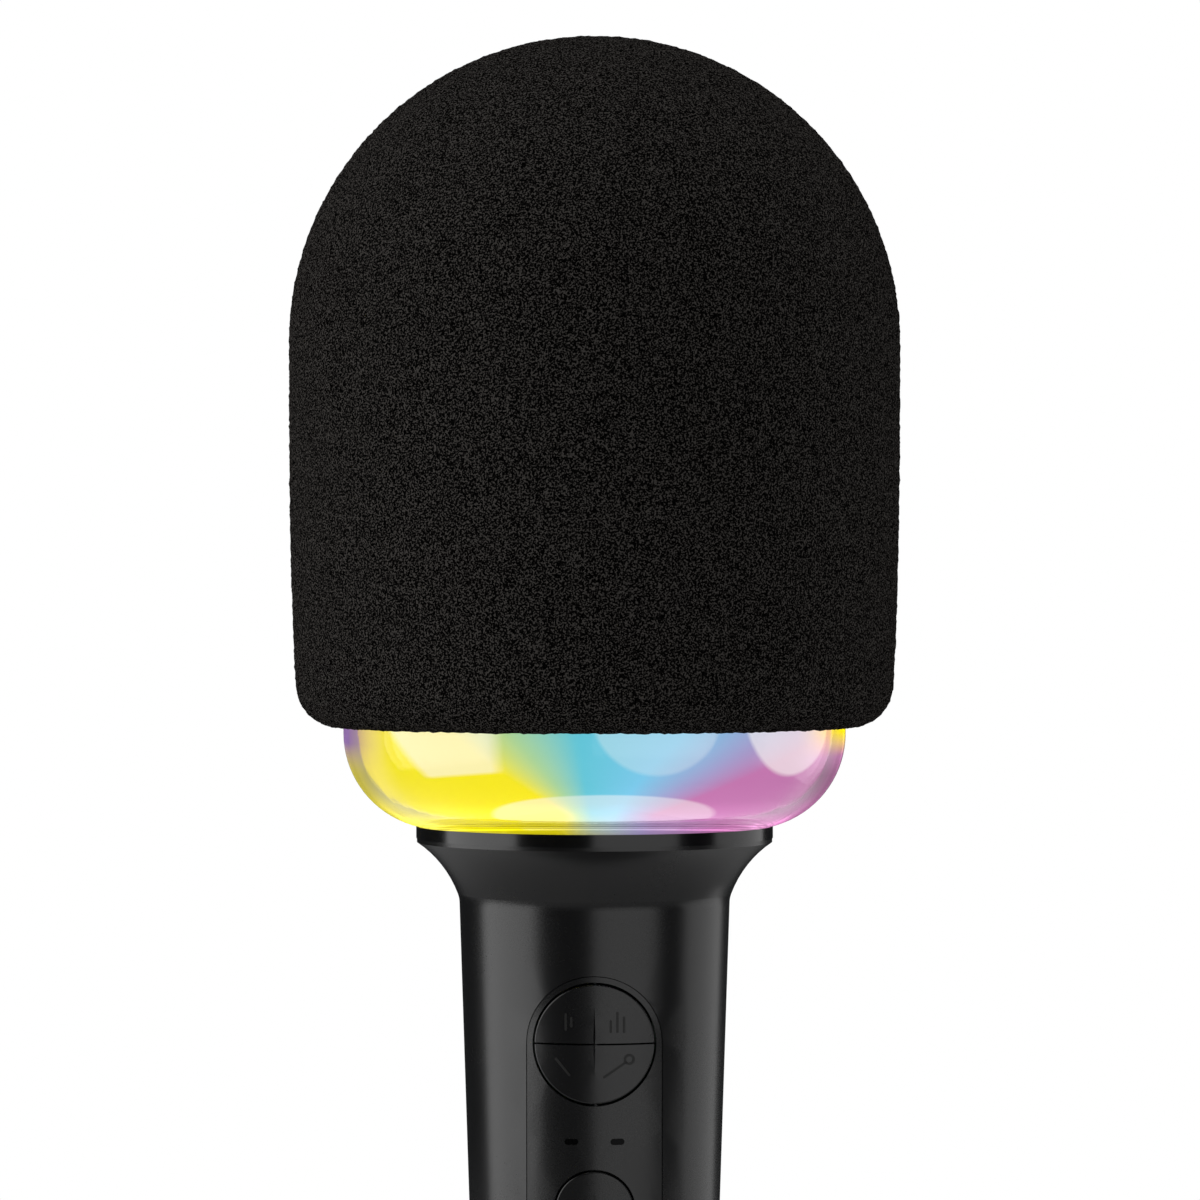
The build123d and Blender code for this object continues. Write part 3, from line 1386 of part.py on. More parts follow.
# ---------------------------------------------------------------- export
pieces = {
    "foam_windscreen": foam_windscreen,
    "grille_dome": grille_dome,
    "grille_ring": grille_ring,
    "pop_filter": pop_filter,
    "capsule_body": capsule_body,
    "capsule_face": capsule_face,
    "capsule_grommet": capsule_grommet,
    "capsule_bridge": capsule_bridge,
    "speaker_screws": speaker_screws,
    "speaker_gasket": speaker_gasket,
    "speaker_basket": speaker_basket,
    "speaker_cone": speaker_cone,
    "speaker_surround": speaker_surround,
    "speaker_spider": speaker_spider,
    "speaker_terminals": speaker_terminals,
    "dust_cap": dust_cap,
    "voice_coil": voice_coil,
    "magnet_washer": magnet_washer,
    "magnet": magnet,
    "back_plate": back_plate,
    "speaker_cup": speaker_cup,
    "head_screws": head_screws,
    "light_bowl": light_bowl,
    "light_diffuser": light_diffuser,
    "light_board": light_board,
    "light_leds": light_leds,
    "core_tube": core_tube,
    "collar_ring": collar_ring,
    "front_shell": front_shell,
    "rear_shell": rear_shell,
    "case_screws": case_screws,
    "control_panel": control_panel,
    "indicator_windows": indicator_windows,
    "upper_key": upper_key,
    "lower_key": lower_key,
    "pad_pin": pad_pin,
    "power_key": power_key,
    "volume_key": volume_key,
    "volume_pin": volume_pin,
    "main_board": main_board,
    "key_switches": key_switches,
    "status_leds": status_leds,
    "board_screws": board_screws,
    "audio_chips": audio_chips,
    "board_passives": board_passives,
    "board_sockets": board_sockets,
    "battery_cell": battery_cell,
    "cell_guard": cell_guard,
    "battery_cradle": battery_cradle,
    "charge_board": charge_board,
    "charge_chips": charge_chips,
    "usb_shell": usb_shell,
    "usb_tongue": usb_tongue,
    "tail_cap": tail_cap,
    "tail_screws": tail_screws,
    "tail_pad": tail_pad,
    "speaker_leads": speaker_leads,
    "power_leads": power_leads,
    "capsule_cable": capsule_cable,
    "light_cable": light_cable,
}

os.makedirs("parts", exist_ok=True)
for name, piece in pieces.items():
    piece.part.label = name
    export_step(piece.part, f"parts/{name}.step")
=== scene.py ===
import json
import math

import bmesh
import bpy
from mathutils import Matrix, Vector


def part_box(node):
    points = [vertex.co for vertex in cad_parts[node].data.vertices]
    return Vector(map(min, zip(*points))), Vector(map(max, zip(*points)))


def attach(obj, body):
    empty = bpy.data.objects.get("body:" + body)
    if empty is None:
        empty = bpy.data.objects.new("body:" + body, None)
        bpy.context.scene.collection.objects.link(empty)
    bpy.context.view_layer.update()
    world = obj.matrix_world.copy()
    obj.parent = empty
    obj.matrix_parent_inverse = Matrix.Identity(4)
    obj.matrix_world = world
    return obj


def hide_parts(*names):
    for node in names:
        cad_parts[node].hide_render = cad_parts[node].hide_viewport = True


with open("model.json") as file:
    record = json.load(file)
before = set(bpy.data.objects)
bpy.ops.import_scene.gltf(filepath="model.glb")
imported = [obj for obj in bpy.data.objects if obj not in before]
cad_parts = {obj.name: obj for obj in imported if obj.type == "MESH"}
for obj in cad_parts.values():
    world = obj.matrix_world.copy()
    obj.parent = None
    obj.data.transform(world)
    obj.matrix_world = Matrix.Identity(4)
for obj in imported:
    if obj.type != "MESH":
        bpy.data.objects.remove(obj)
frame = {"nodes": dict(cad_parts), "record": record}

bl_info = {
    "name": "Karaoke Microphone",
    "version": (1, 0, 0),
    "blender": (4, 5, 0),
    "location": "3D View > Sidebar > Microphone",
    "description": "Foam, mesh, key marks, finishes and studio for a karaoke microphone",
    "category": "Add Mesh",
}

# ------------------------------------------------------------------ places, from the frame
MM = 0.001
FULL_TURN = math.tau
AXIS_TOLERANCE = 0.01 * MM  # how near a plane a vertex counts as lying on it
PRINT_DISTANCE = 30 * MM  # from the axis, in front of the keys, where a mark starts before it is laid on
STROKE_PIECES = 8  # lengths that a printed line is cut into, so that it can follow the key's curve
SIDE_STEPS = 16  # points down the windscreen's side
FLOOR_RADIUS = 0.9

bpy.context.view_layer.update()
foam_low, foam_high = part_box("foam_windscreen")
dome_low, dome_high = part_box("grille_dome")
lining_low, lining_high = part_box("pop_filter")
bowl_low, bowl_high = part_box("light_bowl")
upper_low, upper_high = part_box("upper_key")
lower_low, lower_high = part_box("lower_key")
power_low, power_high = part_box("power_key")
volume_low, volume_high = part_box("volume_key")
pad_z = (upper_low.z + lower_high.z) / 2
power_z = (power_low.z + power_high.z) / 2
volume_z = (volume_low.z + volume_high.z) / 2
slots = {part["node"]: part["material_slot"] for part in frame["record"]["subparts"]}


# ------------------------------------------------------------------ sizes and colours that a user may change
def length(name, description, default):
    """A property that holds a size in metres."""
    return bpy.props.FloatProperty(
        name=name, description=description, default=default, unit="LENGTH", precision=5
    )


def colour(name, description, default):
    """A property that holds a colour, as linear red, green and blue."""
    return bpy.props.FloatVectorProperty(
        name=name, description=description, default=default, subtype="COLOR", size=3, min=0, max=1
    )


class WindscreenProperties(bpy.types.PropertyGroup):
    """The foam windscreen and the foam that lines the grille."""

    taper: length("Taper", "How far the side draws in towards the lower edge", 1.4 * MM)
    edge_round: length("Edge rounding", "Radius of the rounded lower edge", 6.4 * MM)
    lip_round: length("Lip rounding", "Radius at the mouth of the windscreen", 0.8 * MM)
    mouth_gap: length("Mouth gap", "Space between the grille and the foam", 0.3 * MM)
    cell: length("Cell", "Spacing of the points that model the foam's surface", 0.56 * MM)
    pore: length("Pore size", "Width of the foam's open cells", 0.9 * MM)
    pore_depth: length("Pore depth", "Depth of the foam's open cells", 0.3 * MM)
    # Dark foam is the painted shade deep in the cells, and light foam the painted glints on the struts.
    dark: colour("Dark foam", "Colour deep in the foam's cells", (0.0002, 0.0002, 0.0002))
    light: colour("Light foam", "Colour of the struts that catch the light", (0.080, 0.074, 0.069))
    lining_wall: length("Lining wall", "Thickness of the foam under the grille", 2.2 * MM)
    lining_inset: length("Lining inset", "Room left between the grille and its lining", 0.25 * MM)
    lining_cell: length("Lining cell", "Spacing of the points that model the lining", 1.0 * MM)


class GrilleProperties(bpy.types.PropertyGroup):
    """The woven mesh of the grille."""

    wire: length("Wire", "Thickness of the grille's wire", 0.5 * MM)
    crimp: length("Crimp", "How far the wire bends in and out at each crossing", 0.14 * MM)
    band: length("Band height", "Height of the plain hem at the foot of the mesh", 2.0 * MM)
    halvings: bpy.props.IntProperty(
        name="Halvings", description="How often a side of the cube is halved to make the mesh", default=5
    )
    colour: colour("Wire colour", "Painted wire", (0.030, 0.030, 0.032))


class KeyProperties(bpy.types.PropertyGroup):
    """The marks printed on the keys."""

    line: length("Line width", "Width of a printed line", 0.34 * MM)
    print_lift: length("Print lift", "How far the print stands off the key", 0.03 * MM)
    print_thickness: length("Print thickness", "Thickness of the printed layer", 0.04 * MM)
    ink: colour("Ink", "Colour of the printed marks", (0.0012, 0.0012, 0.0008))


class LightProperties(bpy.types.PropertyGroup):
    """The colours of the lit bowl, from the left round to the right of the keys."""

    yellow: colour("Yellow", "Glow on the left", (0.91, 0.78, 0.006))
    green: colour("Green", "Glow left of the middle", (0.40, 0.64, 0.30))
    teal: colour("Teal", "Glow in the middle", (0.12, 0.55, 0.67))
    blue: colour("Blue", "Glow right of the middle", (0.19, 0.57, 0.81))
    lilac: colour("Lilac", "Glow towards the right", (0.35, 0.34, 0.60))
    pink: colour("Pink", "Glow on the right", (0.53, 0.17, 0.41))
    # The rim colour is painted glow standing in for light carried to the clear bowl's upper left edge.
    rim: colour("Rim", "Tint of the clear rim on the left", (0.32, 0.20, 0.42))
    glow: bpy.props.FloatProperty(name="Glow", description="Strength of the light", default=1.0, min=0)


class FinishProperties(bpy.types.PropertyGroup):
    """The colours of the handle, the collar and the keys."""

    handle: colour("Handle", "Satin charcoal of the handle", (0.0045, 0.0045, 0.0048))
    panel: colour("Panel", "Satin charcoal of the control panel", (0.0043, 0.0043, 0.0046))
    key: colour("Keys", "Satin charcoal of the keys", (0.0040, 0.0040, 0.0043))
    collar: colour("Collar", "Polished black of the collar", (0.0030, 0.0030, 0.0033))


class StudioProperties(bpy.types.PropertyGroup):
    """The camera, its distance and the light of the studio."""

    camera_height: length("Camera height", "Height of the camera over the floor", 177 * MM)
    camera_distance: length("Camera distance", "From the handle's axis to the camera", 630 * MM)
    camera_side: length("Camera side", "How far the camera stands to the right", 0.8 * MM)
    field: bpy.props.FloatProperty(
        name="Field of view", description="Angle across the whole picture", default=math.radians(16),
        subtype="ANGLE",
    )
    floor: colour("Floor", "Pale floor", (0.86, 0.86, 0.86))
    surround: bpy.props.FloatProperty(
        name="Surround", description="Strength of the light that comes from all round", default=0.02, min=0
    )


# ------------------------------------------------------------------ shader maths
class Value:
    """One output socket of a finish; arithmetic on it adds Math nodes."""

    def __init__(self, finish, socket):
        self.finish = finish
        self.socket = socket

    def _math(self, operation, *terms, clamp=False):
        settings = {"operation": operation, "use_clamp": clamp}
        return self.finish.node("ShaderNodeMath", settings, dict(enumerate(terms)))

    def __add__(self, other):
        return self._math("ADD", self, other)

    def __radd__(self, other):
        return self._math("ADD", other, self)

    def __sub__(self, other):
        return self._math("SUBTRACT", self, other)

    def __rsub__(self, other):
        return self._math("SUBTRACT", other, self)

    def __mul__(self, other):
        return self._math("MULTIPLY", self, other)

    def __rmul__(self, other):
        return self._math("MULTIPLY", other, self)

    def __truediv__(self, other):
        return self._math("DIVIDE", self, other)

    def __pow__(self, other):
        return self._math("POWER", self, other)

    def angle_to(self, other):
        """The angle whose tangent is self over other."""
        return self._math("ARCTAN2", self, other)

    def wave(self):
        """The sine."""
        return self._math("SINE", self)

    def over(self, edge, soft):
        """0 below the edge and 1 above it, with a soft step."""
        return self._math("MULTIPLY_ADD", self - edge, 1 / soft, 0.5, clamp=True)

    def clamped(self):
        """Held between 0 and 1."""
        return self._math("ADD", self, 0.0, clamp=True)

    def least(self, other):
        """The smaller of the two."""
        return self._math("MINIMUM", self, other)

    def most(self, other):
        """The larger of the two."""
        return self._math("MAXIMUM", self, other)

    def size(self):
        """The value without its sign."""
        return self._math("ABSOLUTE", self)


class Finish:
    """A material: constants go on its shader, and what varies is linked to it."""

    def __init__(self, name, constants=None):
        self.material = bpy.data.materials.new(name)
        self.material.use_nodes = True
        self.nodes = self.material.node_tree.nodes
        self.links = self.material.node_tree.links
        self.shader = self.nodes["Principled BSDF"]
        for socket, value in (constants or {}).items():
            self.shader.inputs[socket].default_value = value
        self.place = self.node("ShaderNodeTexCoord", {}, {}, "Object")

    def node(self, kind, settings, inputs, output=None):
        """Adds a node, sets it up, then gives its sockets their values or links."""
        made = self.nodes.new(kind)
        for setting, value in settings.items():
            if setting == "stops":
                stops = made.color_ramp.elements
                while len(stops) < len(value):
                    stops.new(0.5)
                for stop, (position, shade) in zip(stops, value):
                    stop.position = position
                    stop.color = shade
            else:
                setattr(made, setting, value)
        for socket, value in inputs.items():
            if isinstance(value, Value):
                self.links.new(value.socket, made.inputs[socket])
            else:
                made.inputs[socket].default_value = value
        shown = [socket for socket in made.outputs if socket.enabled]
        return Value(self, made.outputs[output] if output else shown[0])

    def axis(self, name):
        """One coordinate of the place on the object."""
        return self.node("ShaderNodeSeparateXYZ", {}, {"Vector": self.place}, name)

    def noise(self, size, detail=2.0, rough=0.5, place=None):
        """Smooth noise whose spots are about size across, from 0 to 1."""
        inputs = {"Vector": place or self.place, "Scale": 1 / size, "Detail": detail, "Roughness": rough}
        return self.node("ShaderNodeTexNoise", {}, inputs, "Fac")

    def cells(self, size, feature="F1"):
        """Distance to the middle of the nearest cell, about 0 to 1."""
        inputs = {"Vector": self.place, "Scale": 1 / size}
        return self.node("ShaderNodeTexVoronoi", {"feature": feature}, inputs, "Distance")

    def stretched(self, x, y, z):
        """The place on the object, scaled along its axes."""
        settings = {"operation": "MULTIPLY"}
        return self.node("ShaderNodeVectorMath", settings, {0: self.place, 1: (x, y, z)}, "Vector")

    def mix(self, amount, first, second):
        """A colour between two."""
        inputs = {0: amount, 6: shade(first), 7: shade(second)}
        settings = {"data_type": "RGBA", "clamp_factor": True}
        made = self.node("ShaderNodeMix", settings, inputs)
        return Value(self, made.socket.node.outputs[2])

    def link(self, value, socket):
        """Feeds one of the shader's sockets."""
        self.links.new(value.socket, self.shader.inputs[socket])

    def relief(self, height, depth, strength=1.0):
        """Bump: height from 0 to 1 stands for depth in metres."""
        inputs = {"Strength": strength, "Distance": depth, "Height": height}
        self.link(self.node("ShaderNodeBump", {}, inputs, "Normal"), "Normal")


def shade(value):
    """A colour socket's value: a link as it is, and three numbers with full alpha."""
    return value if isinstance(value, Value) else (*value[:3], 1.0)


def scaled(values, factor):
    """A colour, lighter or darker."""
    return tuple(min(1.0, value * factor) for value in values)


# ------------------------------------------------------------------ finishes
def moulded(name, base, roughness, grain=0.35 * MM, depth=0.010 * MM, coat=0.0, mottle=0.18):
    """Moulded plastic: the tool's fine grain, faint mottling and the dull smears of handling."""
    finish = Finish(name, {"Specular IOR Level": 0.5, "Coat Weight": coat, "Coat Roughness": 0.08})
    clouds = finish.noise(14 * MM, 4.0, 0.6)
    fine = finish.noise(grain, 2.0)
    handling = finish.noise(38 * MM, 3.0, 0.65)
    finish.link(finish.mix(clouds, scaled(base, 1 - mottle), scaled(base, 1 + mottle)), "Base Color")
    finish.link(roughness + (handling - 0.5) * 0.10 + (fine - 0.5) * 0.05, "Roughness")
    finish.relief(fine, depth, 0.5)
    return finish


def plated(name, base, roughness, stretch=(1, 1, 1), depth=0.004 * MM):
    """Bare or plated metal with faint tooling marks."""
    finish = Finish(name, {"Metallic": 1.0})
    drawn = finish.noise(0.5 * MM, 3.0, 0.6, finish.stretched(*stretch))
    clouds = finish.noise(5 * MM, 3.0)
    finish.link(finish.mix(clouds, scaled(base, 0.82), scaled(base, 1.12)), "Base Color")
    finish.link(roughness + (clouds - 0.5) * 0.16 + (drawn - 0.5) * 0.10, "Roughness")
    finish.relief(drawn, depth, 0.6)
    return finish


def painted(name, base, roughness):
    """Powder-coated steel: a fine orange-peel skin."""
    finish = Finish(name, {"Specular IOR Level": 0.5})
    peel = finish.noise(0.6 * MM, 1.0)
    clouds = finish.noise(9 * MM, 3.0)
    finish.link(finish.mix(clouds, scaled(base, 0.85), scaled(base, 1.2)), "Base Color")
    finish.link(roughness + (clouds - 0.5) * 0.12, "Roughness")
    finish.relief(peel, 0.02 * MM, 0.6)
    return finish


def foam(name, dark, light, pore):
    """Open-cell foam: painted shade in its dark cells, and painted glints on struts that catch a little
    light.
    """
    finish = Finish(name, {"Specular IOR Level": 0.0})
    struts = finish.noise(0.38 * pore, 3.0, 0.8)
    patches = finish.noise(6 * pore, 3.0)
    glints = finish.noise(0.27 * pore, 1.0)
    # Painted highlights: lighter struts and sparse painted glints over the painted shade, with faint random
    # patches.
    painted_glints_and_mottle = struts.over(0.55, 0.22) * 0.08 + glints.over(0.555, 0.12) * 0.80 + (patches - 0.5) * 0.03
    finish.link(finish.mix(painted_glints_and_mottle.clamped(), dark, light), "Base Color")
    finish.link(0.95 - glints * 0.1, "Roughness")
    finish.relief(struts, 0.25 * pore, 0.8)
    return finish


def fibres(name, base, size=0.3 * MM, stretch=(1, 1, 1), roughness=0.85):
    """Pressed or woven fibres."""
    finish = Finish(name, {"Specular IOR Level": 0.3, "Sheen Weight": 0.15, "Sheen Roughness": 0.5})
    hairs = finish.noise(size, 5.0, 0.75, finish.stretched(*stretch))
    clouds = finish.noise(3 * MM, 3.0)
    finish.link(finish.mix(hairs * 0.7 + clouds * 0.3, scaled(base, 0.5), scaled(base, 1.6)), "Base Color")
    finish.link(roughness + (hairs - 0.5) * 0.1, "Roughness")
    finish.relief(hairs, 0.08 * MM, 0.7)
    return finish


def woven(name, base, pitch):
    """Resin-stiffened cloth: threads that cross, read from the place on the object."""
    finish = Finish(name, {"Specular IOR Level": 0.35})
    turns = FULL_TURN / pitch
    warp = (finish.axis("X") * turns).wave()
    weft = (finish.axis("Y") * turns).wave()
    weave = (warp * weft) * 0.5 + 0.5
    stain = finish.noise(4 * MM, 3.0)
    finish.link(finish.mix(weave * 0.6 + stain * 0.4, scaled(base, 0.55), scaled(base, 1.35)), "Base Color")
    finish.link(0.62 + (stain - 0.5) * 0.2, "Roughness")
    finish.relief(weave, 0.06 * MM, 0.8)
    return finish


def rubbery(name, base, roughness=0.7):
    """Soft rubber or cable jacket: matt, with fine dust in its grain."""
    finish = Finish(name, {"Specular IOR Level": 0.4, "Sheen Weight": 0.05})
    grain = finish.noise(0.25 * MM, 3.0)
    dust = finish.noise(3 * MM, 5.0, 0.7)
    finish.link(finish.mix(dust.over(0.62, 0.2) * 0.5, base, scaled(base, 1.8)), "Base Color")
    finish.link(roughness + (dust - 0.5) * 0.2, "Roughness")
    finish.relief(grain, 0.02 * MM, 0.6)
    return finish


def soldered_board(name, mask, copper):
    """A circuit board: tracks under the solder mask, and bare plated pads."""
    finish = Finish(name, {"Specular IOR Level": 0.5, "Coat Weight": 0.2, "Coat Roughness": 0.15})
    tracks = finish.cells(2.2 * MM, "DISTANCE_TO_EDGE")
    routed = 1 - tracks.over(0.09, 0.02)
    pads = 1 - finish.cells(1.7 * MM).over(0.17, 0.03)
    weave = finish.noise(0.4 * MM, 2.0)
    masked = finish.mix(routed, scaled(mask, 0.8), scaled(mask, 1.9))
    finish.link(finish.mix(pads, masked, copper), "Base Color")
    finish.link(pads * 0.9, "Metallic")
    finish.link(0.38 - pads * 0.1 + (weave - 0.5) * 0.1, "Roughness")
    finish.relief(routed * 0.6 + pads * 0.4, 0.03 * MM, 0.7)
    return finish


def chip_body(name, base):
    """A moulded chip package: fine gritty resin."""
    return moulded(name, base, 0.6, 0.12 * MM, 0.012 * MM)


def wound_copper(name, base):
    """Enamelled wire wound round the coil's former, seen as fine rings up the axis."""
    finish = Finish(name, {"Metallic": 1.0, "Coat Weight": 0.4, "Coat Roughness": 0.1})
    rings = (finish.axis("Z") * (FULL_TURN / (0.22 * MM))).wave() * 0.5 + 0.5
    clouds = finish.noise(2 * MM, 3.0)
    finish.link(finish.mix(rings * 0.6 + clouds * 0.4, scaled(base, 0.45), scaled(base, 1.15)), "Base Color")
    finish.link(0.28 + (clouds - 0.5) * 0.1, "Roughness")
    finish.relief(rings, 0.05 * MM, 0.8)
    return finish


def shrink_sleeve(name, base):
    """The cell's shrink sleeve: glossy film with soft lengthwise ripples."""
    finish = Finish(name, {"Specular IOR Level": 0.5, "Coat Weight": 0.3, "Coat Roughness": 0.12})
    ripples = finish.noise(4 * MM, 3.0, 0.5, finish.stretched(1, 1, 0.2))
    finish.link(finish.mix(ripples, scaled(base, 0.75), scaled(base, 1.25)), "Base Color")
    finish.link(0.24 + (ripples - 0.5) * 0.15, "Roughness")
    finish.relief(ripples, 0.12 * MM, 0.6)
    return finish


def glow_places(finish):
    """Where a point of the bowl is: its share of a turn, 0.5 at the keys' side, and of the height."""
    turn = finish.axis("X").angle_to(0 - finish.axis("Y")) / FULL_TURN + 0.5
    rise = (finish.axis("Z") - bowl_low.z) / (bowl_high.z - bowl_low.z)
    return turn, rise


def glow_colours(finish, light, turn, rise):
    """The colours that run into each other round the bowl; they close in towards the middle lower down."""
    spread = (rise * 1.4).most(0.30)
    offset = turn - 0.5 + (finish.noise(22 * MM, 1.0) - 0.5) * 0.02
    front = (offset / spread).least(0.25).most(-0.25)
    around = front + offset - offset.least(0.25).most(-0.25) + 0.5
    ring = [
        (0.00, light.blue),
        (0.13, light.green),
        (0.25, light.yellow),
        (0.42, light.yellow),
        (0.455, light.green),
        (0.49, light.teal),
        (0.55, light.blue),
        (0.605, light.lilac),
        (0.66, light.pink),
        (0.85, light.pink),
        (0.92, light.lilac),
        (1.00, light.blue),
    ]
    low_ring = [
        (0.00, light.lilac),
        (0.13, light.green),
        (0.25, light.yellow),
        (0.40, light.yellow),
        (0.47, scaled(light.yellow, 0.75)),
        (0.54, light.lilac),
        (0.62, light.pink),
        (0.85, light.pink),
        (1.00, light.lilac),
    ]
    stops = [(position, shade(tone)) for position, tone in ring]
    low_stops = [(position, shade(tone)) for position, tone in low_ring]
    high = finish.node("ShaderNodeValToRGB", {"stops": stops}, {0: around}, "Color")
    low = finish.node("ShaderNodeValToRGB", {"stops": low_stops}, {0: turn}, "Color")
    return finish.mix(rise.over(0.11, 0.24), low, high)


def clear_bowl(name, light):
    """The polished clear bowl: its sides, their upper rim and its foot carry painted glow in their colour
    and emission, standing in for light that runs along a clear wall; the foot also gets a painted highlight
    line and a painted darker line.
    """
    constants = {
        "Transmission Weight": 1.0, "IOR": 1.22, "Specular IOR Level": 0.15, "Emission Strength": 1.0,
    }
    finish = Finish(name, constants)
    turn, rise = glow_places(finish)
    scratches = finish.noise(0.7 * MM, 4.0, 0.8, finish.stretched(1, 1, 6))
    colours = glow_colours(finish, light, turn, rise)
    # Masks for the bowl's sides, a quarter turn either side of the keys, and for its upper part, where the
    # painted glow goes.
    left = 1 - (turn - 0.25).size().over(0.07, 0.06)
    right = 1 - (turn - 0.75).size().over(0.07, 0.06)
    upper = rise.over(0.60, 0.25)
    white = (1.0, 1.0, 1.0)
    painted_rim_tint = finish.mix(left * upper, finish.mix((left + right).clamped() * 0.85, white, colours), light.rim)
    painted_rim_tint = finish.mix(right * rise.over(0.72, 0.2), painted_rim_tint, light.yellow)
    finish.link(painted_rim_tint, "Base Color")
    # Painted glow up the foot, all round: a painted highlight line near the bottom, then a painted darker
    # line, fading out by 0.45 of the height.
    foot = [
        (0.00, shade((0.38, 0.38, 0.38))),
        (0.05, shade((0.58, 0.58, 0.58))),
        (0.10, shade((0.14, 0.14, 0.14))),
        (0.16, shade((0.20, 0.20, 0.20))),
        (0.30, shade((0.03, 0.03, 0.03))),
        (0.45, shade((0.0, 0.0, 0.0))),
    ]
    painted_foot_glow = finish.node("ShaderNodeValToRGB", {"stops": foot}, {0: rise}, "Color")
    # Painted glow at the sides, stronger towards the top, in the sides' painted tint.
    rim = (left + right).clamped() * (0.20 + upper * 0.20)
    # Painted foot glow in the ring's colours.
    glow = finish.mix(painted_foot_glow, (0.0, 0.0, 0.0), colours)
    finish.link(finish.mix(rim, glow, painted_rim_tint), "Emission Color")
    finish.link(0.02 + scratches.over(0.72, 0.1) * 0.03, "Roughness")
    finish.relief(scratches, 0.001 * MM, 0.2)
    return finish


def smoked_window(name, base):
    """A smoked indicator window: polished, its colour varying a little at random."""
    finish = Finish(name, {"Specular IOR Level": 0.08})
    depth = finish.noise(0.8 * MM, 2.0)
    finish.link(finish.mix(depth, scaled(base, 0.2), base), "Base Color")
    finish.link(0.25 + (depth - 0.5) * 0.06, "Roughness")
    finish.relief(depth, 0.004 * MM, 0.4)
    return finish


def lit_diffuser(name, light):
    """The milky diffuser: lit colours that run into each other, with painted reflections of studio lights as
    pale patches in its glow.
    """
    finish = Finish(name, {"Specular IOR Level": 0.05, "Emission Strength": light.glow})
    turn, rise = glow_places(finish)
    colours = glow_colours(finish, light, turn, rise)

    def spot(angle, width, middle, tall):
        """A round painted highlight: its angle from the keys and half width in degrees, its middle and
        height.
        """
        along = ((turn - (0.5 + angle / 360)) * 360 / width) ** 2.0
        up = ((rise - middle) / tall) ** 2.0
        return 1 - (along + up).over(1.0, 0.14)

    # The tall patch is a painted reflection of a softbox, left of the keys.
    box_left, box_right = 57 / 360, 23 / 360  # sides of the tall patch, in turns
    from_left = turn + (rise - 0.9) * 0.09
    slope = (turn - 0.5) * 0.9
    sides = from_left.over(0.5 - box_left, 0.010) * (1 - turn.over(0.5 - box_right, 0.010))
    softbox = sides * (rise - slope).over(0.60, 0.03)
    # Painted highlights in the glow: the softbox reflection, round painted reflections in the middle, to the
    # right and low near the foot, and four more round the back.
    painted_highlights = (softbox * 0.45).most(spot(15, 15.5, 1.0, 0.48) * 0.2).most(spot(54, 17, 1.0, 0.50) * 0.5)
    painted_highlights = painted_highlights.most(spot(3, 33, 0.17, 0.20) * 0.38)
    for angle in (105, 150, -160, -115):
        painted_highlights = painted_highlights.most(spot(angle, 16, 1.0, 0.5) * 0.3)
    glow_and_painted_highlights = finish.mix(painted_highlights, colours, (1.0, 0.97, 0.93))
    finish.link(glow_and_painted_highlights, "Emission Color")
    finish.link(finish.mix(0.92, glow_and_painted_highlights, (0.01, 0.01, 0.01)), "Base Color")
    finish.link(0.4 + finish.noise(1.2 * MM, 2.0) * 0.08, "Roughness")
    return finish


def lit_resin(name, base, strength):
    """A small lamp of clear resin, lit."""
    finish = Finish(name, {"Emission Strength": strength, "Coat Weight": 0.5})
    core = finish.noise(1.5 * MM, 1.0)
    finish.link(finish.mix(core, scaled(base, 0.8), base), "Base Color")
    finish.link(finish.mix(core, scaled(base, 0.7), base), "Emission Color")
    finish.link(0.3 + core * 0.1, "Roughness")
    return finish


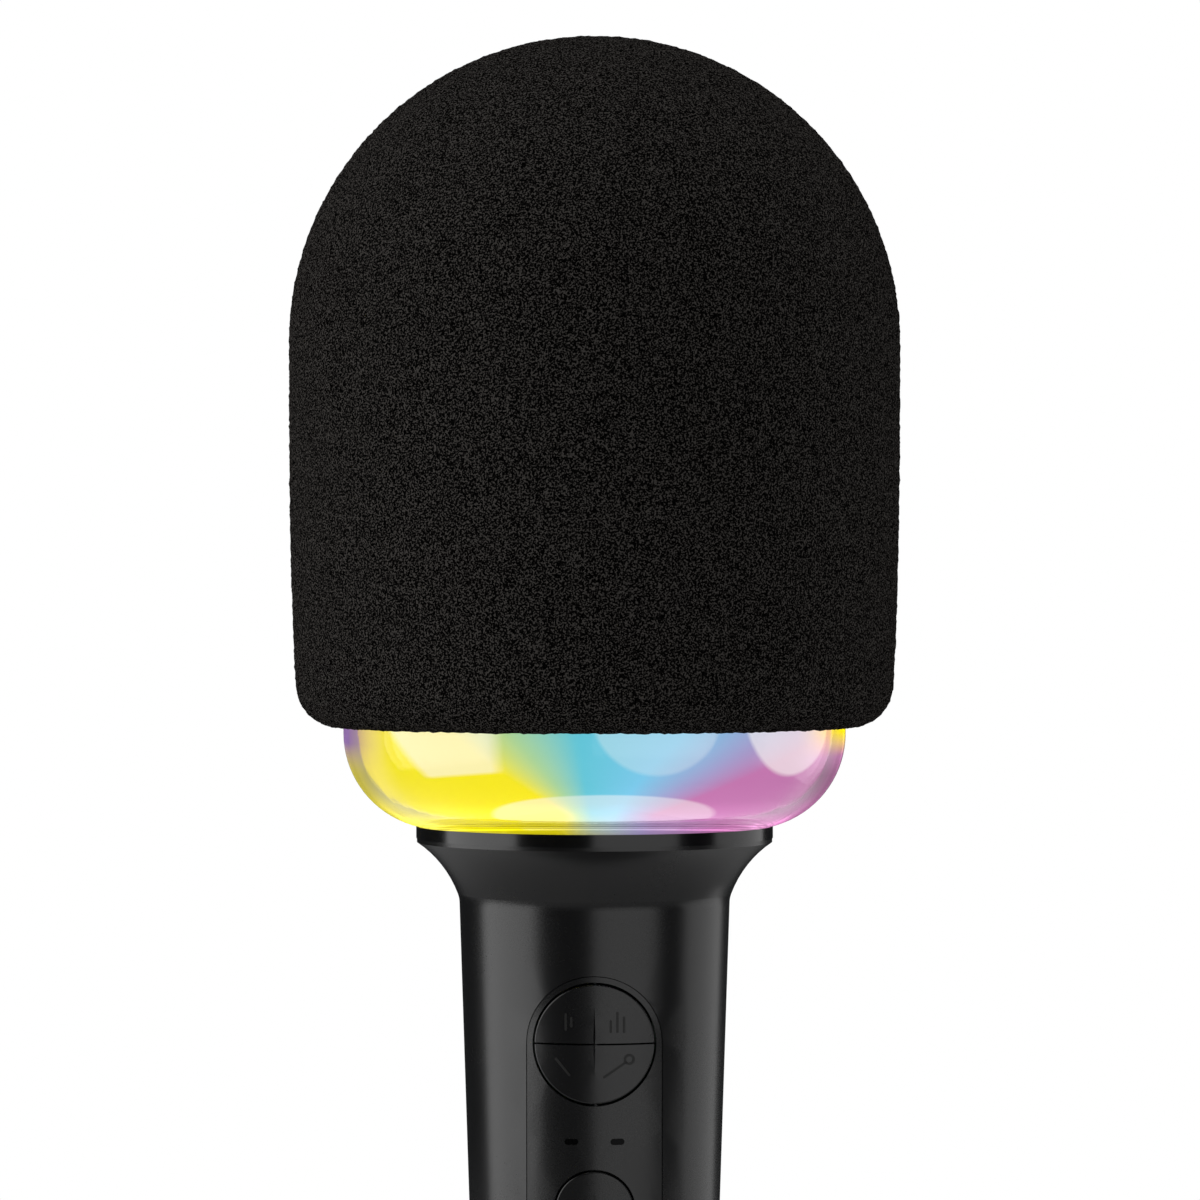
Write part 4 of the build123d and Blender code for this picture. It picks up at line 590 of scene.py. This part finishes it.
def all_finishes(scene):
    """Every finish of the microphone, by the name of the slot that it is for."""
    colours = scene.microphone_finish
    foams = scene.microphone_windscreen
    return {
        # Each foam's two colours are painted shade in the cells and painted glints on the struts.
        "foam": foam("windscreen_foam", foams.dark, foams.light, foams.pore),
        "lining": foam("lining_foam", (0.006, 0.006, 0.006), (0.05, 0.05, 0.05), 1.1 * MM),
        "grille_wire": painted("painted_wire", scene.microphone_grille.colour, 0.38),
        "satin_metal": painted("painted_ring", (0.028, 0.028, 0.030), 0.33),
        "nickel": plated("nickel_plate", (0.66, 0.64, 0.60), 0.24),
        "felt": fibres("black_felt", (0.020, 0.020, 0.020)),
        "rubber": rubbery("black_rubber", (0.016, 0.016, 0.016)),
        "black_plastic": moulded("grained_plastic", (0.022, 0.022, 0.024), 0.52, 0.3 * MM, 0.03 * MM),
        "steel": plated("zinc_screw", (0.55, 0.55, 0.56), 0.30),
        "stamped_steel": painted("powder_coat", (0.032, 0.032, 0.034), 0.45),
        "paper": fibres("pressed_paper", (0.035, 0.034, 0.032), 0.5 * MM),
        "spider_cloth": woven("stiffened_cloth", (0.42, 0.25, 0.11), 0.7 * MM),
        "circuit_board": soldered_board("green_board", (0.012, 0.085, 0.035), (0.75, 0.60, 0.28)),
        "dust_cap": fibres("coated_dust_cap", (0.026, 0.026, 0.028), 0.6 * MM, roughness=0.45),
        "copper": wound_copper("wound_copper", (0.85, 0.42, 0.20)),
        "zinc_steel": plated("turned_zinc", (0.58, 0.58, 0.60), 0.32, (1, 1, 4)),
        "ferrite": painted("sintered_ferrite", (0.045, 0.045, 0.048), 0.62),
        "clear_plastic": clear_bowl("clear_bowl", scene.microphone_light),
        "diffuser": lit_diffuser("lit_diffuser", scene.microphone_light),
        "white_board": soldered_board("white_board", (0.42, 0.43, 0.42), (0.80, 0.66, 0.34)),
        "led": lit_resin("lit_resin", (0.95, 0.93, 0.82), 0.8),
        "gloss_black": moulded("polished_black", colours.collar, 0.17, 0.5 * MM, 0.001 * MM),
        "satin_black": moulded("satin_handle", colours.handle, 0.26),
        "panel": moulded("satin_panel", colours.panel, 0.28),
        "window": smoked_window("smoked_window", (0.0015, 0.0015, 0.0018)),
        "key": moulded("satin_key", colours.key, 0.27),
        "ink": moulded("printed_ink", scene.microphone_keys.ink, 0.55, 0.2 * MM, 0.002 * MM),
        "switch": plated("switch_cover", (0.62, 0.61, 0.58), 0.35),
        "chip": chip_body("chip_resin", (0.018, 0.018, 0.020)),
        "passive": moulded("ceramic_body", (0.26, 0.19, 0.12), 0.5, 0.2 * MM, 0.01 * MM, mottle=0.4),
        "socket": moulded("cream_nylon", (0.62, 0.58, 0.46), 0.42, 0.4 * MM),
        "cell_wrap": shrink_sleeve("blue_sleeve", (0.020, 0.100, 0.380)),
        "wire": rubbery("red_insulation", (0.34, 0.015, 0.012), 0.5),
        "cable": rubbery("black_jacket", (0.015, 0.015, 0.015), 0.6),
    }


# ------------------------------------------------------------------ modelling by hand, in code
def deselect():
    """Leaves edit mode and selects nothing, so that the next operator acts on its own piece alone."""
    if bpy.context.object and bpy.context.object.mode != "OBJECT":
        bpy.ops.object.mode_set(mode="OBJECT")
    bpy.ops.object.select_all(action="DESELECT")


def named(piece, name):
    """Names a piece and its mesh."""
    piece.name = name
    piece.data.name = name
    return piece


def pick(piece, wanted):
    """In edit mode, selects the vertices for which wanted(place) is true."""
    bpy.ops.mesh.select_mode(type="VERT")
    bpy.ops.mesh.select_all(action="DESELECT")
    mesh = bmesh.from_edit_mesh(piece.data)
    for vertex in mesh.verts:
        vertex.select = bool(wanted(vertex.co))
    mesh.select_flush_mode()
    bmesh.update_edit_mesh(piece.data)


def applied(piece, kind, **settings):
    """Adds a modifier to the piece and applies it."""
    modifier = piece.modifiers.new(kind.title(), kind)
    for setting, value in settings.items():
        setattr(modifier, setting, value)
    bpy.context.view_layer.objects.active = piece
    bpy.ops.object.modifier_apply(modifier=modifier.name)


def settled(piece):
    """Puts a piece's place, turn and size into its mesh."""
    deselect()
    piece.select_set(True)
    bpy.context.view_layer.objects.active = piece
    bpy.ops.object.transform_apply(location=True, rotation=True, scale=True)
    return piece


def smoothed(piece, angle=40):
    """Smooth shading, broken where faces meet at more than the angle."""
    deselect()
    piece.select_set(True)
    bpy.context.view_layer.objects.active = piece
    bpy.ops.object.shade_smooth_by_angle(angle=math.radians(angle))


def arc(centre_x, centre_z, radius, first, last, steps):
    """Points of an arc in the XZ plane; the angles are in degrees from +X towards +Z."""
    angles = [math.radians(first + (last - first) * step / steps) for step in range(steps + 1)]
    return [Vector((centre_x + radius * math.cos(a), 0, centre_z + radius * math.sin(a))) for a in angles]


def turned(name, outline, steps):
    """A closed shell: one point drawn out along the outline and spun round the axis."""
    deselect()
    bpy.ops.mesh.primitive_plane_add(size=MM, location=(0, 0, 0))
    piece = named(bpy.context.object, name)
    bpy.ops.object.mode_set(mode="EDIT")
    bpy.ops.mesh.select_mode(type="VERT")
    bpy.ops.mesh.select_all(action="SELECT")
    bpy.ops.mesh.merge(type="CENTER")
    bpy.ops.transform.translate(value=outline[0])
    for before, after in zip(outline, outline[1:]):
        bpy.ops.mesh.extrude_vertices_move(TRANSFORM_OT_translate={"value": after - before})
    bpy.ops.mesh.select_all(action="SELECT")
    bpy.ops.mesh.spin(steps=steps, angle=FULL_TURN, center=(0, 0, 0), axis=(0, 0, 1))
    bpy.ops.mesh.select_all(action="SELECT")
    bpy.ops.mesh.remove_doubles(threshold=0.001 * MM)
    bpy.ops.mesh.normals_make_consistent(inside=False)
    bpy.ops.object.mode_set(mode="OBJECT")
    return piece


def pitted(piece, name, cell, pore, depth):
    """Gives a foam shell an even skin of small faces, and presses the foam's open cells into it."""
    applied(piece, "REMESH", mode="VOXEL", voxel_size=cell)
    pores = bpy.data.textures.new(name + "_pores", "VORONOI")
    pores.noise_scale = pore
    applied(piece, "DISPLACE", texture=pores, texture_coords="LOCAL", strength=depth, mid_level=0.85)
    grain = bpy.data.textures.new(name + "_grain", "CLOUDS")
    grain.noise_scale = pore * 0.8
    grain.noise_depth = 2
    applied(piece, "DISPLACE", texture=grain, texture_coords="LOCAL", strength=depth, mid_level=0.75)
    deselect()
    piece.select_set(True)
    bpy.context.view_layer.objects.active = piece
    bpy.ops.object.shade_smooth()


def clothed(piece, finish):
    """Gives a piece its material."""
    piece.data.materials.clear()
    piece.data.materials.append(finish.material)


# ------------------------------------------------------------------ operators
finishes = {}


class MICROPHONE_OT_finishes(bpy.types.Operator):
    """Makes every finish and gives the frame's parts theirs"""

    bl_idname = "microphone.finishes"
    bl_label = "Finishes"

    def execute(self, context):
        finishes.update(all_finishes(context.scene))
        for node, slot in slots.items():
            clothed(frame["nodes"][node], finishes[slot])
        return {"FINISHED"}


class MICROPHONE_OT_windscreen(bpy.types.Operator):
    """Adds the foam windscreen"""

    bl_idname = "microphone.windscreen"
    bl_label = "Windscreen"

    def execute(self, context):
        sizes = context.scene.microphone_windscreen
        radius = foam_high.x
        middle = foam_high.z - radius
        mouth = dome_high.x + sizes.mouth_gap
        edge_z = foam_low.z + sizes.edge_round
        lip_z = foam_low.z + sizes.lip_round

        def side(z):
            """Outer radius below the half-round top."""
            return radius - sizes.taper * ((middle - z) / (middle - foam_low.z)) ** 3

        outline = arc(0, middle, radius, 90, 0, 32)
        for step in range(1, SIDE_STEPS + 1):
            z = middle + (edge_z - middle) * step / SIDE_STEPS
            outline.append(Vector((side(z), 0, z)))
        outline += arc(side(edge_z) - sizes.edge_round, edge_z, sizes.edge_round, 0, -90, 10)[1:]
        outline += arc(mouth + sizes.lip_round, lip_z, sizes.lip_round, -90, -180, 4)
        outline += arc(0, middle, mouth, 0, 90, 32)
        windscreen = turned("windscreen", outline, 128)
        pitted(windscreen, "windscreen", sizes.cell, sizes.pore, sizes.pore_depth)
        clothed(windscreen, finishes["foam"])
        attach(windscreen, "windscreen")
        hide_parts("foam_windscreen")
        return {"FINISHED"}


class MICROPHONE_OT_lining(bpy.types.Operator):
    """Adds the thin foam that lines the grille"""

    bl_idname = "microphone.lining"
    bl_label = "Grille lining"

    def execute(self, context):
        sizes = context.scene.microphone_windscreen
        outer = lining_high.x - sizes.lining_inset
        inner = outer - sizes.lining_wall
        middle = lining_high.z - lining_high.x
        edge = sizes.lining_wall / 2
        edge_z = lining_low.z + edge
        outline = arc(0, middle, outer, 90, 0, 24)
        outline += arc(outer - edge, edge_z, edge, 0, -180, 8)
        outline += arc(0, middle, inner, 0, 90, 24)
        lining = turned("grille_lining", outline, 96)
        pitted(lining, "lining", sizes.lining_cell, sizes.pore * 1.3, sizes.pore_depth)
        clothed(lining, finishes["lining"])
        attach(lining, "grille")
        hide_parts("pop_filter")
        return {"FINISHED"}


class MICROPHONE_OT_grille(bpy.types.Operator):
    """Adds the woven mesh of the grille and its hem"""

    bl_idname = "microphone.grille"
    bl_label = "Grille mesh"

    def execute(self, context):
        sizes = context.scene.microphone_grille
        radius = dome_high.x - sizes.wire / 2 - sizes.crimp
        middle = dome_high.z - dome_high.x
        foot = dome_low.z + sizes.band - sizes.wire
        mesh = self.half_ball(radius, sizes.halvings)
        rows = round((middle - foot) / (radius * math.pi / 2 / 2 ** sizes.halvings))
        bpy.ops.object.mode_set(mode="EDIT")
        pick(mesh, lambda place: abs(place.z) < AXIS_TOLERANCE)
        for _ in range(rows):
            drop = (0, 0, (foot - middle) / rows)
            bpy.ops.mesh.extrude_edges_move(TRANSFORM_OT_translate={"value": drop})
        self.crimp(mesh, sizes.crimp)
        bpy.ops.mesh.select_all(action="SELECT")
        bpy.ops.mesh.normals_make_consistent(inside=False)
        bpy.ops.transform.translate(value=(0, 0, middle))
        bpy.ops.object.mode_set(mode="OBJECT")
        applied(mesh, "WIREFRAME", thickness=sizes.wire, use_even_offset=False, use_boundary=True)
        smoothed(mesh, 60)
        clothed(mesh, finishes["grille_wire"])
        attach(mesh, "grille")
        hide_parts("grille_dome")
        self.hem(sizes)
        return {"FINISHED"}

    @staticmethod
    def half_ball(radius, halvings):
        """The upper half of a ball whose faces are all nearly square."""
        deselect()
        bpy.ops.mesh.primitive_cube_add(size=radius, location=(0, 0, 0))
        ball = named(bpy.context.object, "grille_mesh")
        applied(ball, "SUBSURF", levels=halvings, render_levels=halvings)
        applied(ball, "CAST", cast_type="SPHERE", factor=1.0, size=radius, use_radius_as_size=False)
        bpy.ops.object.mode_set(mode="EDIT")
        pick(ball, lambda place: place.z < -AXIS_TOLERANCE)
        bpy.ops.mesh.delete(type="VERT")
        bpy.ops.object.mode_set(mode="OBJECT")
        return ball

    @staticmethod
    def crimp(piece, depth):
        """Draws every second crossing in, so that each wire goes in and out along its length."""
        bpy.ops.mesh.select_all(action="DESELECT")
        mesh = bmesh.from_edit_mesh(piece.data)
        mesh.verts.ensure_lookup_table()
        odd = {mesh.verts[0]: False}
        front = [mesh.verts[0]]
        while front:
            vertex = front.pop()
            for edge in vertex.link_edges:
                other = edge.other_vert(vertex)
                if other not in odd:
                    odd[other] = not odd[vertex]
                    front.append(other)
        for vertex, chosen in odd.items():
            vertex.select = chosen
        bmesh.update_edit_mesh(piece.data)
        bpy.ops.transform.shrink_fatten(value=-2 * depth)

    @staticmethod
    def hem(sizes):
        """The plain band that the mesh is folded into at its foot."""
        outer = dome_high.x
        thick = 2 * sizes.wire
        low = dome_low.z
        top = low + sizes.band
        bead = thick / 2
        outline = [Vector((outer - thick, 0, low)), Vector((outer, 0, low))]
        outline += arc(outer - bead, top - bead, bead, 0, 180, 8)
        outline.append(outline[0].copy())
        hem = turned("grille_hem", outline, 128)
        smoothed(hem)
        clothed(hem, finishes["satin_metal"])
        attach(hem, "grille")


class MICROPHONE_OT_marks(bpy.types.Operator):
    """Prints the plain marks on the keys"""

    bl_idname = "microphone.marks"
    bl_label = "Key marks"

    def execute(self, context):
        self.sizes = context.scene.microphone_keys
        for index, height in enumerate((1.5, 2.7, 2.0)):
            x = (2.35 + 0.95 * index) * MM
            foot = pad_z + 1.8 * MM
            self.stroke(f"mark_level_{index + 1}", (x, foot), (x, foot + height * MM), "upper_key")
        for index, x in enumerate((-4.1, -3.3)):
            foot = pad_z + (2.6 if index else 2.1) * MM
            top = pad_z + (3.8 if index else 4.3) * MM
            self.stroke(f"mark_rest_{index + 1}", (x * MM, foot), (x * MM, top), "upper_key")
        self.stroke("mark_slant", (-5.5 * MM, pad_z - 2.1 * MM), (-3.6 * MM, pad_z - 4.4 * MM), "lower_key")
        self.stroke("mark_arm", (1.4 * MM, pad_z - 4.7 * MM), (4.5 * MM, pad_z - 2.6 * MM), "lower_key")
        self.ring("mark_eye", (5.0 * MM, pad_z - 2.2 * MM), 0.62 * MM, "lower_key", 0)
        self.ring("mark_power_ring", (0, power_z), 1.7 * MM, "power_key", 70)
        self.stroke("mark_power_bar", (0, power_z + 0.4 * MM), (0, power_z + 2.1 * MM), "power_key")
        high = volume_z + 5.4 * MM
        foot = volume_z - 5.4 * MM
        arm = 1.3 * MM
        self.stroke("mark_plus_flat", (-arm, high), (arm, high), "volume_key")
        self.stroke("mark_plus_upper", (0, high + 0.25 * MM), (0, high + arm), "volume_key")
        self.stroke("mark_plus_lower", (0, high - arm), (0, high - 0.25 * MM), "volume_key")
        self.stroke("mark_minus", (-arm, foot), (arm, foot), "volume_key")
        return {"FINISHED"}

    def stroke(self, name, start, end, key):
        """A straight printed line with rounded ends, between two places on the key's face."""
        line = self.sizes.line
        run = Vector((end[0] - start[0], end[1] - start[1]))
        reach = run.length
        deselect()
        bpy.ops.mesh.primitive_circle_add(
            vertices=16, radius=line / 2, fill_type="NGON", location=(0, 0, 0), rotation=(0, 0, 0)
        )
        piece = named(bpy.context.object, name)
        bpy.ops.object.mode_set(mode="EDIT")
        pick(piece, lambda place: place.x > 0.001 * MM)
        bpy.ops.transform.translate(value=(reach, 0, 0))
        for share in range(1, STROKE_PIECES):
            bpy.ops.mesh.select_all(action="SELECT")
            cut = (reach * share / STROKE_PIECES, 0, 0)
            bpy.ops.mesh.bisect(plane_co=cut, plane_no=(1, 0, 0))
        bpy.ops.object.mode_set(mode="OBJECT")
        piece.rotation_euler = (math.pi / 2, -math.atan2(run.y, run.x), 0)
        piece.location = (start[0], -PRINT_DISTANCE, start[1])
        self.printed(piece, key)

    def ring(self, name, middle, radius, key, gap):
        """A printed ring, open at the top by gap degrees."""
        line = self.sizes.line
        deselect()
        bpy.ops.mesh.primitive_circle_add(vertices=72, radius=radius - line / 2, location=(0, 0, 0))
        piece = named(bpy.context.object, name)
        bpy.ops.object.mode_set(mode="EDIT")
        half = math.radians(gap / 2)
        if gap:
            pick(piece, lambda place: abs(math.atan2(place.x, place.y)) < half)
            bpy.ops.mesh.delete(type="VERT")
        bpy.ops.mesh.select_all(action="SELECT")
        bpy.ops.mesh.extrude_edges_move(TRANSFORM_OT_translate={"value": (0, 0, 0)})
        wider = (radius + line / 2) / (radius - line / 2)
        bpy.ops.transform.resize(value=(wider, wider, 1), center_override=(0, 0, 0))
        bpy.ops.object.mode_set(mode="OBJECT")
        piece.rotation_euler = (math.pi / 2, 0, 0)
        piece.location = (middle[0], -PRINT_DISTANCE, middle[1])
        self.printed(piece, key)

    def printed(self, piece, key):
        """Lays a flat mark on the key's curved face and gives it the thickness of the print."""
        settled(piece)
        bpy.ops.object.mode_set(mode="EDIT")
        bpy.ops.mesh.select_all(action="SELECT")
        bpy.ops.mesh.normals_make_consistent(inside=False)
        bpy.ops.object.mode_set(mode="OBJECT")
        applied(
            piece, "SHRINKWRAP", target=frame["nodes"][key], wrap_method="PROJECT", use_project_y=True,
            use_positive_direction=True, use_negative_direction=False,
        )
        facing = sum(polygon.normal.y for polygon in piece.data.polygons)
        if facing > 0:
            bpy.ops.object.mode_set(mode="EDIT")
            bpy.ops.mesh.select_all(action="SELECT")
            bpy.ops.mesh.flip_normals()
            bpy.ops.object.mode_set(mode="OBJECT")
        applied(piece, "SOLIDIFY", thickness=self.sizes.print_thickness + self.sizes.print_lift, offset=1.0)
        smoothed(piece, 30)
        clothed(piece, finishes["ink"])
        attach(piece, key)


# Each light: its name, azimuth in degrees, distance, rise over the focus, width and height, and watts.
SOFTBOXES = (
    ("left_softbox", -80, 1.1, 0.05, (1.25, 1.3), 11.0),
    ("right_softbox", 110, 1.1, 0.05, (1.15, 1.3), 4.6),
    ("front_softbox", 27, 1.5, 0.05, (1.6, 1.4), 7.2),
    ("back_softbox", 180, 1.3, 0.60, (0.9, 0.7), 2.0),
    ("top_softbox", 180, 0.01, 1.20, (1.2, 1.2), 8.0),
)


class MICROPHONE_OT_stage(bpy.types.Operator):
    """Sets the pale floor, the soft studio light and the camera"""

    bl_idname = "microphone.stage"
    bl_label = "Stage"

    def execute(self, context):
        studio = context.scene.microphone_studio
        self.floor(studio)
        self.surround(context.scene, studio)
        focus = Vector((0, 0, studio.camera_height))
        for name, azimuth, distance, rise, size, power in SOFTBOXES:
            self.softbox(name, focus, azimuth, distance, rise, size, power)
        self.camera(context.scene, studio)
        context.scene.view_settings.view_transform = "Standard"
        return {"FINISHED"}

    @staticmethod
    def floor(studio):
        """A round pale floor with a faint grain, which fades out towards its edge."""
        deselect()
        bpy.ops.mesh.primitive_circle_add(
            vertices=128, radius=FLOOR_RADIUS, fill_type="NGON", location=(0, 0, 0)
        )
        floor = named(bpy.context.object, "studio_floor")
        bpy.ops.object.mode_set(mode="EDIT")
        bpy.ops.mesh.select_all(action="SELECT")
        bpy.ops.mesh.inset(thickness=0.004)
        bpy.ops.object.mode_set(mode="OBJECT")
        finish = Finish("pale_floor", {"Specular IOR Level": 0.2})
        grain = finish.noise(6 * MM, 4.0)
        finish.link(finish.mix(grain, scaled(studio.floor, 0.985), studio.floor), "Base Color")
        finish.link(0.7 + grain * 0.1, "Roughness")
        out = (finish.axis("X") ** 2.0 + finish.axis("Y") ** 2.0) ** 0.5
        finish.link(1 - out.over(0.25, 0.6), "Alpha")
        clothed(floor, finish)

    @staticmethod
    def surround(scene, studio):
        """White all round the object, and dim grey for the light that reaches it from there."""
        world = bpy.data.worlds.new("studio")
        world.use_nodes = True
        scene.world = world
        nodes, links = world.node_tree.nodes, world.node_tree.links
        output = nodes["World Output"]
        dim = nodes["Background"]
        dim.inputs["Color"].default_value = (0.9, 0.95, 1.0, 1.0)
        dim.inputs["Strength"].default_value = studio.surround
        white = nodes.new("ShaderNodeBackground")
        white.inputs["Color"].default_value = (1.0, 1.0, 1.0, 1.0)
        white.inputs["Strength"].default_value = 1.0
        path = nodes.new("ShaderNodeLightPath")
        mix = nodes.new("ShaderNodeMixShader")
        links.new(path.outputs["Is Camera Ray"], mix.inputs[0])
        links.new(dim.outputs[0], mix.inputs[1])
        links.new(white.outputs[0], mix.inputs[2])
        links.new(mix.outputs[0], output.inputs["Surface"])

    @staticmethod
    def softbox(name, focus, azimuth, distance, rise, size, power):
        """A soft light at an angle round the object, 0 being the camera's side and 90 the right."""
        deselect()
        angle = math.radians(azimuth)
        place = focus + Vector((math.sin(angle) * distance, -math.cos(angle) * distance, rise))
        turn = (focus - place).to_track_quat("-Z", "Y").to_euler()
        bpy.ops.object.light_add(type="AREA", location=place, rotation=turn)
        light = bpy.context.object
        light.name = name
        light.data.shape = "RECTANGLE"
        light.data.size, light.data.size_y = size
        light.data.energy = power

    @staticmethod
    def camera(scene, studio):
        """The camera, level with the lower part of the windscreen."""
        deselect()
        place = (studio.camera_side, -studio.camera_distance, studio.camera_height)
        bpy.ops.object.camera_add(location=place, rotation=(math.pi / 2, 0, 0))
        camera = bpy.context.object
        camera.name = "view"
        camera.data.lens = camera.data.sensor_width / 2 / math.tan(studio.field / 2)
        camera.data.clip_start = 0.01
        camera.data.clip_end = 100.0
        scene.camera = camera


# ------------------------------------------------------------------ the add-on
groups = {
    "microphone_windscreen": WindscreenProperties,
    "microphone_grille": GrilleProperties,
    "microphone_keys": KeyProperties,
    "microphone_light": LightProperties,
    "microphone_finish": FinishProperties,
    "microphone_studio": StudioProperties,
}
operators = (
    MICROPHONE_OT_finishes,
    MICROPHONE_OT_windscreen,
    MICROPHONE_OT_lining,
    MICROPHONE_OT_grille,
    MICROPHONE_OT_marks,
    MICROPHONE_OT_stage,
)


class MICROPHONE_PT_panel(bpy.types.Panel):
    """Lists the microphone's operators and what they can be set to"""

    bl_idname = "MICROPHONE_PT_panel"
    bl_label = "Karaoke Microphone"
    bl_space_type = "VIEW_3D"
    bl_region_type = "UI"
    bl_category = "Microphone"

    def draw(self, context):
        for operator in operators:
            self.layout.operator(operator.bl_idname)
        for group in groups:
            box = self.layout.box()
            settings = getattr(context.scene, group)
            for setting in settings.bl_rna.properties.keys():
                if setting not in ("rna_type", "name"):
                    box.prop(settings, setting)


def register():
    """Adds the classes and the settings."""
    for group, kind in groups.items():
        bpy.utils.register_class(kind)
        setattr(bpy.types.Scene, group, bpy.props.PointerProperty(type=kind))
    for kind in (*operators, MICROPHONE_PT_panel):
        bpy.utils.register_class(kind)


def unregister():
    """Takes the classes and the settings away."""
    for kind in (*operators, MICROPHONE_PT_panel):
        bpy.utils.unregister_class(kind)
    for group, kind in groups.items():
        delattr(bpy.types.Scene, group)
        bpy.utils.unregister_class(kind)


def main():
    """Builds everything."""
    register()
    bpy.ops.microphone.finishes()
    bpy.ops.microphone.windscreen()
    bpy.ops.microphone.lining()
    bpy.ops.microphone.grille()
    bpy.ops.microphone.marks()
    bpy.ops.microphone.stage()


if __name__ == "__main__":
    main()
